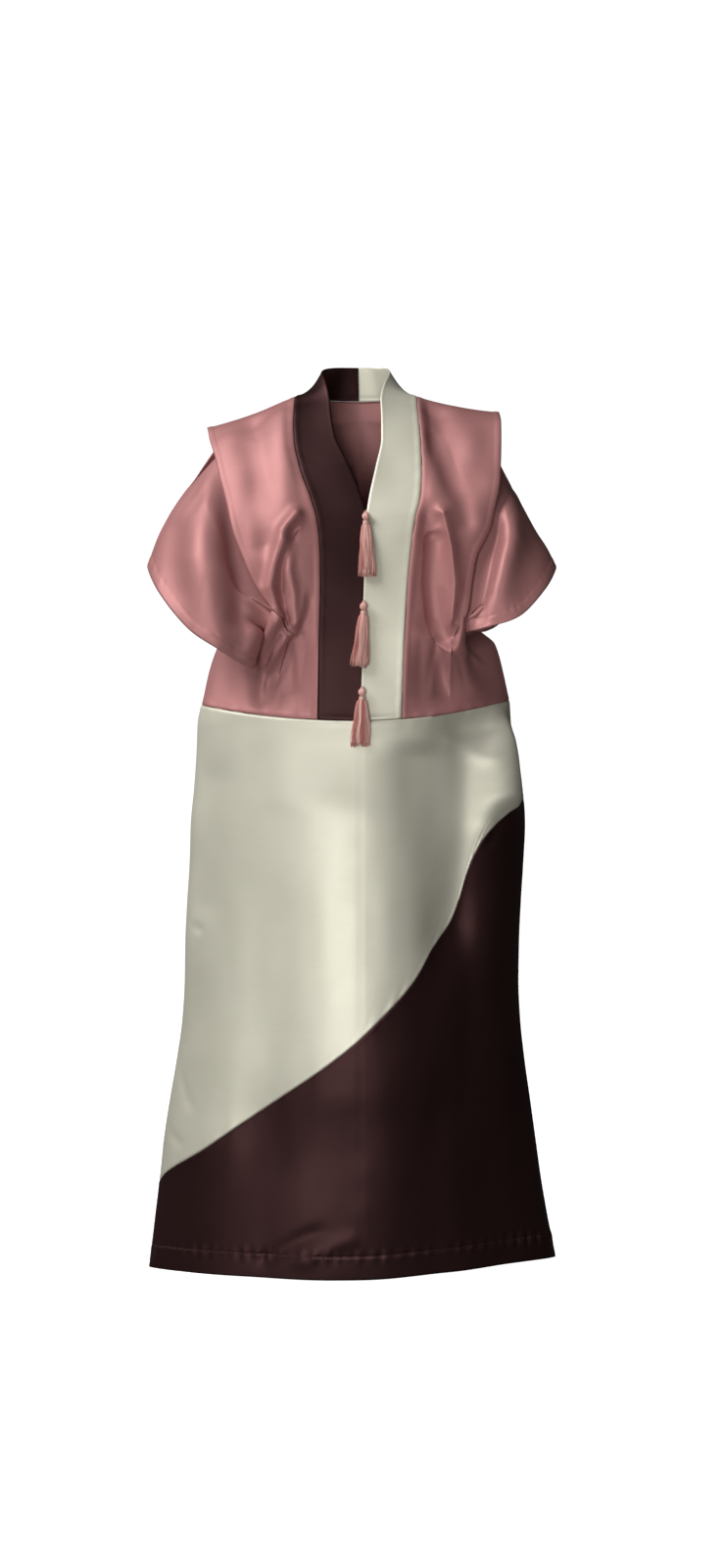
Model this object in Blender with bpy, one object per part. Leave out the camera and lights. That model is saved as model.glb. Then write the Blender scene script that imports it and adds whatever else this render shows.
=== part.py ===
"""Grand boubou robe in three satins, worn open and hollow on a general figure.

The robe is a set of cut panels, each one a cloth wall: a rose bodice with wide
shoulder flanges, short full sleeves, a two-tone front band that turns into a
standing collar, and a long flat-fronted skirt cut across on the slant in ivory
and aubergine.  Three thread tassels hang down the centre front.

Frame: +X to the wearer's left, the front faces -Y, +Z is up.  The origin lies
midway between the two points where collar and shoulder meet.  The side seams and
the shoulder ridges lie in the plane y = 0.  Tables are in millimetres.
"""
import math
import random
from collections import namedtuple

import bmesh
import bpy
from mathutils import Vector, kdtree

MM = 0.001
WALL = 2.0 * MM
SEAM_GAP = 0.32 * MM
SEAM_REACH = 0.2 * MM
UP = Vector((0.0, 0.0, 1.0))

# The skirt's section is a lens: full in front and behind, closed at the sides.
LENS_POWER = 1.3
SKIRT_COLUMNS = 20
IVORY_ROWS = 10
AUBERGINE_ROWS = 8
WAIST_EASE = 60.0

# Levels count down the bodice: 0 at the shoulder, 9 at the pinch below the
# flange, 10 at the waist; -4 to 0 run round the back of the neck.
CENTRE_BACK = -4.0
PINCH = 9.0
WAIST = 10.0
FRONT_JOIN = 6.0
UPPER_LEVELS = (0.0, 0.4, 1.0, 1.6, 2.3, 3.0, 3.7, 4.4, 5.0, 5.5, 6.0, 6.5, 7.0, 7.5, 8.0, 8.5, 9.0)
LOWER_LEVELS = (9.0, 9.2, 9.4, 9.6, 9.8, 10.0)
NECK_LEVELS = (-4.0, -3.2, -2.4, -1.6, -0.8, -0.3, 0.0)
BACK_LEVELS = (0.0, 0.4, 1.0, 2.0, 3.0, 4.0, 5.0, 6.0, 7.0, 8.0, 9.0)
FRONT_COLUMNS = 18
SIDE_COLUMNS = 7
BACK_COLUMNS = 7
BAND_COLUMNS = 4
RIDGE_SAG = 4.0
NECK_SHARE = 0.45
NECK_LEAN = (0.22, 0.1, 0.0)
PINCH_COLUMN_AT_WAIST = 150.0
# Drops at which the waist seam meets the band's seam and the pinch's column.
BAND_WAIST_DROP = 537.0
PINCH_WAIST_DROP = 528.0
BACK_PINCH_WAIST_DROP = 510.0
UNDERARM_DIP = 8.0
UNDERARM_ROUND = 0.9
# How far the folds take to rise: from the band, the shoulder, the waist and the side seam.
FADE_BAND = 0.2
FADE_SHOULDER = 1.5
FADE_WAIST = 0.35
FADE_SIDE = 0.4

# Sleeve: 32 points round, sewn in under the flange.
SLEEVE_POINTS = 32
SLEEVE_ROWS = 8
ARMHOLE_SHARE = 0.72
ARMHOLE_END = 8.3
FLANGE_TURN = 0.32
UNDERARM_LIFT = 3.6
UNDERARM_REACH = 12.0
ARMHOLE_SEAT = 2.9
LOW_SEAT = 13.0
LOW_START = 4.0
LOW_SPAN = 2.5
FLANGE_CLEAR = 9.0
SHOULDER_DROP = 30.0
SHOULDER_SPAN = 3.5
UNDER_FLANGE = 0.12
MIDDLE_SHARE = 0.5

# Tassels: a wound head and locks of thread fused into its lower face.
TASSEL_RINGS = 2
HEAD_RADIUS = 7.4
HEAD_HEIGHT = 17.0
LOCK_INSET = 0.34
HEAD_PROFILE = ((0.2, 1.04), (0.45, 0.8), (0.62, 1.0), (0.85, 0.84), (1.0, 0.45))
HEAD_PROFILE_WIDEST = 1.04
TASSEL_SEAT = 0.4
# Each stretch of a lock: how far down, how far spread, and its girth.
LOCK_STEPS = ((0.42, 0.6, 0.95), (1.0, 1.0, 0.85))
LOCK_CLEAR = 2.8
LOCK_FLATTEN = 0.7
LOCK_SWAY = 0.25
LOCK_LENGTHS = 3.0


def table(columns, *rows):
    """Rows of numbers with named columns."""
    row_type = namedtuple("Row", columns)
    return [row_type(*row) for row in rows]


# Half widths of the skirt at the side seams, against the drop below the shoulder.
OUTLINE = table(
    "drop right left front back",
    (380, 222, 206, 122, 100),
    (500, 257, 249, 124, 105),
    (543, 266, 252, 124, 106),
    (575, 267, 260, 125, 107),
    (640, 271, 270, 125, 108),
    (705, 277, 275, 126, 109),
    (770, 279, 272, 126, 110),
    (834, 283, 268, 127, 111),
    (900, 286, 265, 127, 112),
    (965, 287, 264, 128, 113),
    (1029, 291, 267, 128, 114),
    (1094, 300, 274, 129, 115),
    (1158, 311, 283, 129, 116),
    (1223, 321, 292, 130, 117),
    (1288, 328, 301, 130, 118),
    (1353, 336, 312, 130, 118),
    (1440, 346, 329, 131, 118),
)

# Drop of the waist seam: lowest at the centre front, higher at the side seams.
WAIST_CENTRE = 540.0
WAIST_SIDE_RIGHT = 510.0
WAIST_SIDE_LEFT = 502.0
BACK_WAIST_CENTRE = 506.0

HEM_LINE = table(
    "u drop",
    (-1.0, 1438), (-0.6, 1430), (-0.3, 1427), (0.0, 1426), (0.3, 1419), (0.6, 1415), (1.0, 1421),
)
BACK_HEM_CENTRE = 1428.0

# The slanting seam between ivory and aubergine: a long slope, then a steep rise.
SLANT_FRONT = table(
    "x drop",
    (-328, 1296), (-262, 1239), (-198, 1193), (-103, 1126), (-25, 1068), (30, 1017), (83, 960),
    (117, 909), (151, 866), (167, 825), (181, 781), (205, 731), (225, 706), (250, 680), (272, 663),
)
SLANT_BACK = table(
    "u drop",
    (-1.0, 1233), (-0.6, 1160), (-0.2, 1050), (0.1, 945), (0.4, 810), (0.7, 712), (1.0, 663),
)

# Soft standing folds of the skirt: a line down the cloth, its width and height.
SKIRT_FOLDS_FRONT = table(
    "x0 drop0 x1 drop1 width height",
    (-45, 690, -28, 1120, 70, 9),
    (100, 600, 150, 930, 48, -12),
    (-150, 830, -150, 1200, 55, -8),
    (225, 580, 215, 700, 35, 7),
    (-240, 640, -255, 830, 32, -5),
    (60, 1120, -40, 1400, 80, 6),
    (180, 1000, 220, 1400, 50, -7),
)
SKIRT_FOLDS_BACK = table(
    "x0 drop0 x1 drop1 width height",
    (-110, 600, -140, 1400, 50, 10),
    (20, 640, 10, 1300, 45, -9),
    (130, 580, 170, 1380, 55, 9),
    (-215, 800, -240, 1400, 35, -6),
)

# Band and collar: the outer seam and the inner edge, from the centre back round
# the neck, over the shoulder and down the front.  Right is the wearer's right.
BAND_RIGHT = table(
    "level seam_x seam_y seam_z inner_x inner_y inner_z",
    (-4, 0, 66, 5, 0, 48, 58),
    (-3, -32, 62, 5, -27, 42, 57),
    (-2, -62, 50, 4, -50, 25, 52),
    (-1, -88, 28, 2, -60, 0, 41),
    (0, -103, 0, 0, -53, -21, 18),
    (1, -105.5, -30, -22, -47, -36, -10),
    (2, -106, -50, -50, -44, -52, -40),
    (3, -104, -68, -85, -38, -68, -76),
    (4, -93, -88, -135, -20, -84, -117),
    (5, -76, -105, -183, 2, -99, -172),
    (6, -66, -114, -220, 12, -111, -216),
    (7, -61.5, -120, -270, 10, -119, -268),
    (8, -61, -122, -330, 8, -122, -330),
    (9, -63, -122, -400, 6, -123, -400),
)
BAND_LEFT = table(
    "level seam_x seam_y seam_z inner_x inner_y inner_z",
    (-4, 0, 66, 5, 0, 48, 58),
    (-3, 32, 62, 5, 27, 42, 57),
    (-2, 60, 50, 4, 46, 25, 52),
    (-1, 85, 27, 2, 51, 0, 41),
    (0, 95, 0, 0, 42, -21, 18),
    (1, 97, -30, -24, 36, -36, -10),
    (2, 99, -50, -52, 37, -52, -42),
    (3, 101, -68, -88, 37, -68, -80),
    (4, 102, -88, -138, 28, -85, -128),
    (5, 99, -103, -182, 17, -101, -180),
    (6, 91, -112, -215, 12, -111, -216),
    (7, 84, -120, -266, 10, -119, -268),
    (8, 78, -122, -330, 8, -122, -330),
    (9, 74, -122, -400, 6, -123, -400),
)
BAND_WAIST_RIGHT = -65.0
BAND_WAIST_LEFT = 69.0
CENTRE_WAIST = 4.0

# Free edge of the shoulder flange, in front and behind, and the panel's swell.
FLANGE_RIGHT = table(
    "level x y z back_y swell",
    (0, -251, 0, -52, 0, 0),
    (1, -244, -26, -77, 20, 3),
    (2, -234, -46, -107, 36, 6),
    (3, -224, -66, -145, 50, 9),
    (4, -212, -84, -188, 62, 12),
    (5, -200, -102, -237, 73, 13),
    (6, -180, -117, -290, 82, 11),
    (7, -152, -126, -343, 88, 7),
    (8, -128, -127, -370, 92, 3),
    (9, -107, -121, -401, 94, 0),
)
FLANGE_LEFT = table(
    "level x y z back_y swell",
    (0, 232, 0, -26, 0, 0),
    (1, 231, -26, -50, 20, 3),
    (2, 229, -45, -85, 36, 6),
    (3, 226, -64, -129, 50, 9),
    (4, 221, -88, -183, 62, 12),
    (5, 213, -100, -226, 73, 13),
    (6, 188, -114, -278, 82, 11),
    (7, 181, -121, -318, 88, 7),
    (8, 174, -124, -366, 92, 3),
    (9, 149, -121, -408, 94, 0),
)

# Side seam of the bodice, from the underarm to the waist.
SIDE_RIGHT = table("level x z", (9, -203, -378), (9.2, -225, -400), (9.6, -245, -450), (10, -258, -510))
SIDE_LEFT = table("level x z", (9, 192, -380), (9.2, 226, -409), (9.6, 240, -455), (10, 250, -502))

# Centre of the back panel.
BACK_CENTRE = table(
    "level y z",
    (0, 66, 5), (1, 80, -25), (2, 88, -60), (3, 94, -100), (4, 99, -145), (5, 103, -190),
    (6, 106, -240), (7, 107, -290), (8, 107, -340), (9, 106, -392),
)
BACK_SWELL = 10.0

Fold = namedtuple("Fold", "line width height")

# Folds of the front: rolled pleats that gather to the pinch, and soft troughs.
FOLDS_RIGHT = (
    Fold(((-98, -209), (-118, -237), (-132, -289), (-141, -329), (-129, -361)), 11, 13),
    Fold(((-104, -236), (-121, -300), (-123, -338), (-114, -378)), 8, -7),
    Fold(((-112, -258), (-111, -304), (-102, -341), (-102, -385)), 9, 8),
    Fold(((-180, -95), (-170, -150), (-150, -258)), 17, -7),
    Fold(((-137, -376), (-171, -452)), 11, 6),
    Fold(((-122, -410), (-160, -470), (-164, -515)), 11, 7),
    Fold(((-96, -405), (-112, -515)), 13, -4),
)
FOLDS_LEFT = (
    Fold(((122, -77), (145, -142), (165, -186), (172, -221)), 16, -7),
    Fold(((134, -208), (140, -266), (143, -329), (145, -378)), 12, 12),
    Fold(((120, -250), (117, -324), (124, -374), (146, -418)), 10, -8),
    Fold(((150, -425), (190, -485)), 15, 6),
    Fold(((118, -410), (124, -520)), 17, 4),
)
FOLDS_BACK = (
    Fold(((-150, -190), (-128, -300), (-118, -390)), 15, 9),
    Fold(((150, -190), (140, -300), (140, -398)), 15, 9),
    Fold(((-120, -405), (-165, -490)), 15, 6),
    Fold(((142, -410), (180, -485)), 15, 6),
)

# Rings of the sleeve outside the flange: turn 0 is on top, 0.25 in front, 0.5 under.
MIDDLE_RIGHT = table(
    "turn x y z",
    (0.0, -300, -25, -178), (0.13, -268, -95, -222), (0.25, -232, -134, -292), (0.36, -180, -134, -378),
    (0.44, -152, -110, -402), (0.5, -212, -36, -394), (0.58, -252, 10, -368), (0.75, -284, 42, -280),
    (0.88, -298, 22, -215),
)
CUFF_RIGHT = table(
    "turn x y z",
    (0.0, -343, -60, -289), (0.13, -318, -112, -338), (0.25, -266, -146, -398), (0.36, -210, -146, -436),
    (0.44, -168, -114, -457), (0.5, -182, -92, -440), (0.6, -232, -44, -396), (0.75, -282, -26, -345),
    (0.88, -326, -34, -303),
)
MIDDLE_LEFT = table(
    "turn x y z",
    (0.0, 278, -25, -200), (0.13, 258, -90, -228), (0.25, 235, -126, -290), (0.36, 200, -128, -352),
    (0.44, 171, -108, -382), (0.5, 205, -36, -390), (0.58, 240, 8, -366), (0.75, 268, 42, -285),
    (0.88, 277, 22, -228),
)
CUFF_LEFT = table(
    "turn x y z",
    (0.0, 321, -60, -291), (0.13, 300, -112, -329), (0.25, 258, -142, -373), (0.36, 211, -138, -391),
    (0.44, 170, -108, -397), (0.5, 182, -86, -393), (0.6, 226, -38, -374), (0.75, 270, -22, -342),
    (0.88, 308, -32, -304),
)

Side = namedtuple("Side", "sign band band_waist flange seam folds middle cuff")
RIGHT = Side(
    -1, BAND_RIGHT, BAND_WAIST_RIGHT, FLANGE_RIGHT, SIDE_RIGHT, FOLDS_RIGHT, MIDDLE_RIGHT, CUFF_RIGHT,
)
LEFT = Side(
    1, BAND_LEFT, BAND_WAIST_LEFT, FLANGE_LEFT, SIDE_LEFT, FOLDS_LEFT, MIDDLE_LEFT, CUFF_LEFT,
)

# Tassels: where the head's top lies, how long, how wide at the ends, its lean.
TASSELS = table(
    "name x z length spread lean",
    ("tassel_top", 12.0, -206.0, 103.0, 29.0, 2.0),
    ("tassel_middle", 8.5, -351.0, 101.0, 29.0, -6.0),
    ("tassel_bottom", 6.0, -487.0, 91.0, 35.0, -2.0),
)

# Finishes: base colour, roughness.
FINISHES = {
    "rose_satin": ((0.47, 0.21, 0.21), 0.36),
    "ivory_satin": ((0.80, 0.76, 0.62), 0.34),
    "aubergine_satin": ((0.045, 0.016, 0.020), 0.36),
    "rose_thread": ((0.60, 0.27, 0.27), 0.55),
}


def read(rows, column, at, key="level"):
    """One column of a table between its rows, on a curve that never overshoots."""
    places = [getattr(row, key) for row in rows]
    values = [getattr(row, column) for row in rows]
    at = min(max(at, places[0]), places[-1])
    steps = [
        (values[k + 1] - values[k]) / (places[k + 1] - places[k])
        for k in range(len(rows) - 1)
    ]

    def slope(k):
        if k == 0:
            return steps[0]
        if k == len(steps):
            return steps[-1]
        if steps[k - 1] * steps[k] <= 0:
            return 0.0
        return 2 * steps[k - 1] * steps[k] / (steps[k - 1] + steps[k])

    k = max(i for i in range(len(steps)) if places[i] <= at)
    gap = places[k + 1] - places[k]
    t = (at - places[k]) / gap
    return (
        values[k] * (1 + 2 * t) * (1 - t) ** 2
        + values[k + 1] * t * t * (3 - 2 * t)
        + slope(k) * gap * t * (1 - t) ** 2
        - slope(k + 1) * gap * t * t * (1 - t)
    )


def smooth(t):
    """Ease from 0 to 1."""
    t = min(max(t, 0.0), 1.0)
    return t * t * (3 - 2 * t)


def mix(a, b, t):
    """Blend two numbers or two points."""
    return a + (b - a) * t


def rounded(level):
    """Level for heights, which starts flat so that the shoulder rolls over."""
    return level if level <= 0 or level >= 1 else level * level * (2 - level)


def ridge_height(x, z, folds):
    """Sum of the folds at a place seen from the front."""
    total = 0.0
    here = Vector((x, z))
    for fold in folds:
        nearest = 1e9
        for start, end in zip(fold.line, fold.line[1:]):
            a = Vector(start)
            run = Vector(end) - a
            t = min(max((here - a).dot(run) / run.length_squared, 0.0), 1.0)
            nearest = min(nearest, (here - a - run * t).length)
        total += fold.height * math.exp(-((nearest / fold.width) ** 2))
    return total


# Skirt


def half_width(drop, u):
    """Half the skirt's width at one height, on the side that u names."""
    return read(OUTLINE, "right" if u < 0 else "left", drop, key="drop")


def skirt_folds(x, drop, front):
    """Soft folds of the skirt, which die out towards the waist."""
    rows = SKIRT_FOLDS_FRONT if front else SKIRT_FOLDS_BACK
    folds = [Fold(((row.x0, -row.drop0), (row.x1, -row.drop1)), row.width, row.height) for row in rows]
    return ridge_height(x, -drop, folds) * smooth((drop - 545.0) / WAIST_EASE)


def skirt_point(u, drop, front=True):
    """Point of the skirt: u runs from -1 at the right side seam to 1 at the left."""
    angle = math.pi * u / 2
    x = half_width(drop, u) * math.sin(angle)
    fullness = max(math.cos(angle), 0.0) ** LENS_POWER
    depth = read(OUTLINE, "front" if front else "back", drop, key="drop") * fullness
    depth += skirt_folds(x, drop, front) * min(1.0, 3.0 * fullness)
    return Vector((x, -depth if front else depth, -drop))


def u_at(x, drop):
    """Place across the skirt of a given x."""
    share = x / half_width(drop, x)
    return 2 / math.pi * math.asin(min(max(share, -1.0), 1.0))


def waist_drop(u, front=True):
    """Drop of the waist seam."""
    side_drop = WAIST_SIDE_RIGHT if u < 0 else WAIST_SIDE_LEFT
    centre = WAIST_CENTRE if front else BACK_WAIST_CENTRE
    return mix(centre, side_drop, math.sin(math.pi * u / 2) ** 2)


def waist_point(u, front=True):
    """Point on the waist seam."""
    return skirt_point(u, waist_drop(u, front), front)


def waist_normal(u, front=True):
    """Level direction out of the cloth at the waist seam."""
    if abs(u) > 0.999:
        return Vector((math.copysign(1.0, u), 0.0, 0.0))
    run = waist_point(u + 0.001, front) - waist_point(u - 0.001, front)
    side = 1 if front else -1
    return Vector((run.y * side, -run.x * side, 0.0)).normalized()


def hem_drop(u, front=True):
    """Drop of the hem."""
    if front:
        return read(HEM_LINE, "drop", u, key="u")
    side_drop = HEM_LINE[0].drop if u < 0 else HEM_LINE[-1].drop
    return mix(side_drop, BACK_HEM_CENTRE, math.cos(math.pi * u / 2))


def slant_drop(u, front=True):
    """Drop of the slanting seam."""
    if not front:
        return read(SLANT_BACK, "drop", u, key="u")
    rows = table("u drop", *[(u_at(row.x, row.drop), row.drop) for row in SLANT_FRONT])
    return read(rows, "drop", u, key="u")


# Bodice


def seam_point(side, level):
    """Outer seam of the band, where band and bodice meet."""
    if level <= PINCH:
        z_level = rounded(level)
        return Vector((
            read(side.band, "seam_x", level),
            read(side.band, "seam_y", level),
            read(side.band, "seam_z", z_level),
        ))
    end = waist_point(u_at(side.band_waist, BAND_WAIST_DROP))
    return mix(seam_point(side, PINCH), end, level - PINCH)


def inner_point(side, level):
    """Inner edge of the band; below the neckline both bands share one line."""
    if level > PINCH:
        end = waist_point(u_at(CENTRE_WAIST, WAIST_CENTRE))
        return mix(inner_point(side, PINCH), end, level - PINCH)
    rows = RIGHT.band if level >= FRONT_JOIN else side.band
    return Vector([read(rows, "inner_" + axis, level) for axis in "xyz"])


def edge_point(side, level, front=True):
    """Free edge of the flange."""
    return Vector((
        read(side.flange, "x", level),
        read(side.flange, "y" if front else "back_y", level),
        read(side.flange, "z", rounded(level)),
    ))


def side_point(side, level):
    """Side seam of the bodice."""
    return Vector((read(side.seam, "x", level), 0.0, read(side.seam, "z", level)))


def skirt_part(side, level, s, start, middle, front):
    """Lower bodice: from the pinch and the underarm down to the lens of the waist.

    s runs 0 to 1 from start to the pinch's column and 1 to 2 from there to the side.
    """
    w = level - PINCH
    pinch = edge_point(side, PINCH, front)
    if s <= 1:
        top = mix(start(PINCH), pinch, s)
        u = mix(u_at(start(WAIST).x, BAND_WAIST_DROP), middle, s)
    else:
        t = s - 1
        corner = side_point(side, PINCH)
        top = mix(pinch, corner, t)
        top.y = pinch.y * (1 - t) ** UNDERARM_ROUND
        top.z -= UNDERARM_DIP * 4 * t * (1 - t)
        u = mix(middle, side.sign, t)
    low = waist_point(u, front)
    point = mix(top, low, w)
    point.y = mix(top.y, low.y, smooth(w))
    if s <= 1:
        point += (start(level) - mix(start(PINCH), start(WAIST), w)) * (1 - s) ** 2
    else:
        ends = mix(side_point(side, PINCH), side_point(side, WAIST), w)
        point += (side_point(side, level) - ends) * (s - 1) ** 2
    return point


def front_point(side, s, level):
    """Point of the front bodice, folds included."""
    if level <= PINCH and s <= 1:
        seam = seam_point(side, level)
        edge = edge_point(side, level)
        point = mix(seam, edge, s)
        arch = 4 * s * (1 - s)
        point.y -= read(side.flange, "swell", level) * arch
        point.z -= RIDGE_SAG * arch * smooth(1 - level)
    else:
        middle = u_at(side.sign * PINCH_COLUMN_AT_WAIST, PINCH_WAIST_DROP)
        point = skirt_part(side, level, s, lambda at: seam_point(side, at), middle, True)
    hold = smooth(s / FADE_BAND) * smooth((2 - s) / FADE_SIDE)
    hold *= smooth(level / FADE_SHOULDER) * smooth((WAIST - level) / FADE_WAIST)
    point.y -= ridge_height(point.x, point.z, side.folds) * hold
    return point


def back_start(level):
    """Centre line of the back panel."""
    if level > PINCH:
        return mix(back_start(PINCH), waist_point(0.0, False), level - PINCH)
    return Vector((0.0, read(BACK_CENTRE, "y", level), read(BACK_CENTRE, "z", level)))


def back_top(side, s):
    """Upper edge of the back panel: the neckline, then the shoulder ridge."""
    if s < NECK_SHARE:
        return seam_point(side, mix(CENTRE_BACK, 0.0, s / NECK_SHARE))
    return front_point(side, (s - NECK_SHARE) / (1 - NECK_SHARE), 0.0)


def back_point(side, s, level):
    """Point of the back bodice, folds included."""
    if level <= PINCH and s <= 1:
        lower = max(level, 1.0)
        point = mix(back_start(lower), edge_point(side, lower, False), s)
        point.y += BACK_SWELL * 4 * s * (1 - s) * smooth(level / 3) * smooth((PINCH - level) / 3 + 0.3)
        if level < 1:
            top = back_top(side, s)
            point = Vector((
                mix(top.x, point.x, level),
                mix(top.y, point.y, level),
                mix(top.z, point.z, rounded(level)),
            ))
    else:
        middle = u_at(side.sign * PINCH_COLUMN_AT_WAIST, BACK_PINCH_WAIST_DROP)
        point = skirt_part(side, level, s, back_start, middle, False)
    hold = smooth((2 - s) / FADE_SIDE)
    hold *= smooth(level / FADE_SHOULDER) * smooth((WAIST - level) / FADE_WAIST)
    point.y += ridge_height(point.x, point.z, FOLDS_BACK) * hold
    return point


def out_of(surface, s, level, away):
    """Direction out of a bodice panel at one place."""
    step = 0.01
    lower = max(level, 0.02)
    across = surface(s + step, lower) - surface(s - step, lower)
    down = surface(s, lower + step) - surface(s, lower - step)
    normal = across.cross(down).normalized()
    return normal if normal.dot(away) > 0 else -normal


# Sleeve


def armhole_share(level):
    """Where the sleeve's seam lies between neck and flange edge."""
    return mix(ARMHOLE_SHARE, 1.0, (level / PINCH) ** 2)


def armhole_side(side, level, front):
    """Sleeve seam and the place just under the flange's edge, in front or behind."""
    share = armhole_share(level)
    if front:
        def panel(s, at):
            return front_point(side, s, at)
        seam_s = share
        edge_s = mix(0.87, 0.99, smooth(level / 3))
        away = Vector((0, -1, 0.3))
    else:
        def panel(s, at):
            return back_point(side, s, at)
        seam_s = NECK_SHARE + (1 - NECK_SHARE) * share
        edge_s = mix(NECK_SHARE + (1 - NECK_SHARE) * 0.87, 0.995, smooth(level / 3))
        away = Vector((0, 1, 0.3))
    low = smooth((level - LOW_START) / LOW_SPAN)
    if level < 0.05:
        out_seam = UP
        out_edge = UP
    else:
        straight = Vector((0, -1 if front else 1, 0))
        out_seam = mix(out_of(panel, seam_s, level, away), straight, low)
        out_edge = mix(out_of(panel, edge_s - 0.02, level, away), straight, low)
    drop = mix(mix(SHOULDER_DROP, FLANGE_CLEAR, smooth(level / SHOULDER_SPAN)), LOW_SEAT, low)
    seam = panel(seam_s, level) - out_seam * mix(ARMHOLE_SEAT, LOW_SEAT, low)
    under = panel(edge_s, level) - out_edge * drop
    return seam, under


def underarm(side, t, front):
    """Sleeve seam along the underarm, from beside the pinch, 0, to the side seam, 1."""
    s = mix(1.1, 2.0, t)
    panel = front_point if front else back_point
    seam = panel(side, s, PINCH) + UP * UNDERARM_LIFT
    outward = Vector((side.sign * mix(0.75, 1.0, t), mix(-0.66, -0.35, t) * (1 if front else -1), 0.0))
    return seam, seam + outward * UNDERARM_REACH


def armhole(side, turn):
    """Two rings of the sleeve under the flange: turn 0 on top, 0.5 at the underarm."""
    front = turn <= 0.5
    half = turn if front else 1 - turn
    if half <= FLANGE_TURN:
        return armhole_side(side, ARMHOLE_END * half / FLANGE_TURN, front)
    t = (half - FLANGE_TURN) / (0.5 - FLANGE_TURN)
    seam, under = underarm(side, t, True)
    if not front:
        behind_seam, behind_under = underarm(side, t, False)
        blend = smooth((1 - t) / 0.15)
        seam = mix(seam, behind_seam, blend)
        under = mix(under, behind_under, blend)
    if t < 0.25:
        last_seam, last_under = armhole_side(side, ARMHOLE_END, front)
        seam = mix(last_seam, seam, smooth(t / 0.25))
        under = mix(last_under, under, smooth(t / 0.25))
    return seam, under


def ring_point(rows, turn):
    """Point on a closed ring through the rows of its table."""
    count = len(rows)
    k = max(i for i in range(count) if rows[i].turn <= turn)

    def knot(i):
        row = rows[i % count]
        return row.turn + i // count, Vector((row.x, row.y, row.z))

    (_, before), (start, first), (end, last), (_, after) = [knot(i) for i in range(k - 1, k + 3)]
    span = end - start
    t = (turn - start) / span
    first_run = (last - before) * span / (end - knot(k - 1)[0])
    last_run = (after - first) * span / (knot(k + 2)[0] - start)
    return (
        first * ((1 + 2 * t) * (1 - t) ** 2)
        + last * (t * t * (3 - 2 * t))
        + first_run * (t * (1 - t) ** 2)
        - last_run * (t * t * (1 - t))
    )


def sleeve_point(side, turn, w):
    """Point of the sleeve: w runs from the armhole seam, 0, to the hem, 1."""
    turn %= 1.0
    seam, under = armhole(side, turn)
    if w <= UNDER_FLANGE:
        return mix(seam, under, w / UNDER_FLANGE)
    middle = ring_point(side.middle, turn)
    end = ring_point(side.cuff, turn)
    t = (w - UNDER_FLANGE) / (1 - UNDER_FLANGE)
    turn_here = (end - under) * MIDDLE_SHARE
    if t <= MIDDLE_SHARE:
        v = t / MIDDLE_SHARE
        return (
            under * (1 - v) ** 2 * (1 + v)
            + middle * (v * v * (3 - 2 * v) + v * (1 - v) ** 2)
            - turn_here * (v * v * (1 - v))
        )
    v = (t - MIDDLE_SHARE) / (1 - MIDDLE_SHARE)
    turn_here = (end - under) * (1 - MIDDLE_SHARE)
    return (
        middle * ((1 + 2 * v) * (1 - v) ** 2 + v * v * (1 - v))
        + turn_here * (v * (1 - v) ** 2)
        + end * (v * v * (3 - 2 * v) - v * v * (1 - v))
    )


# Sheets and walls


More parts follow.
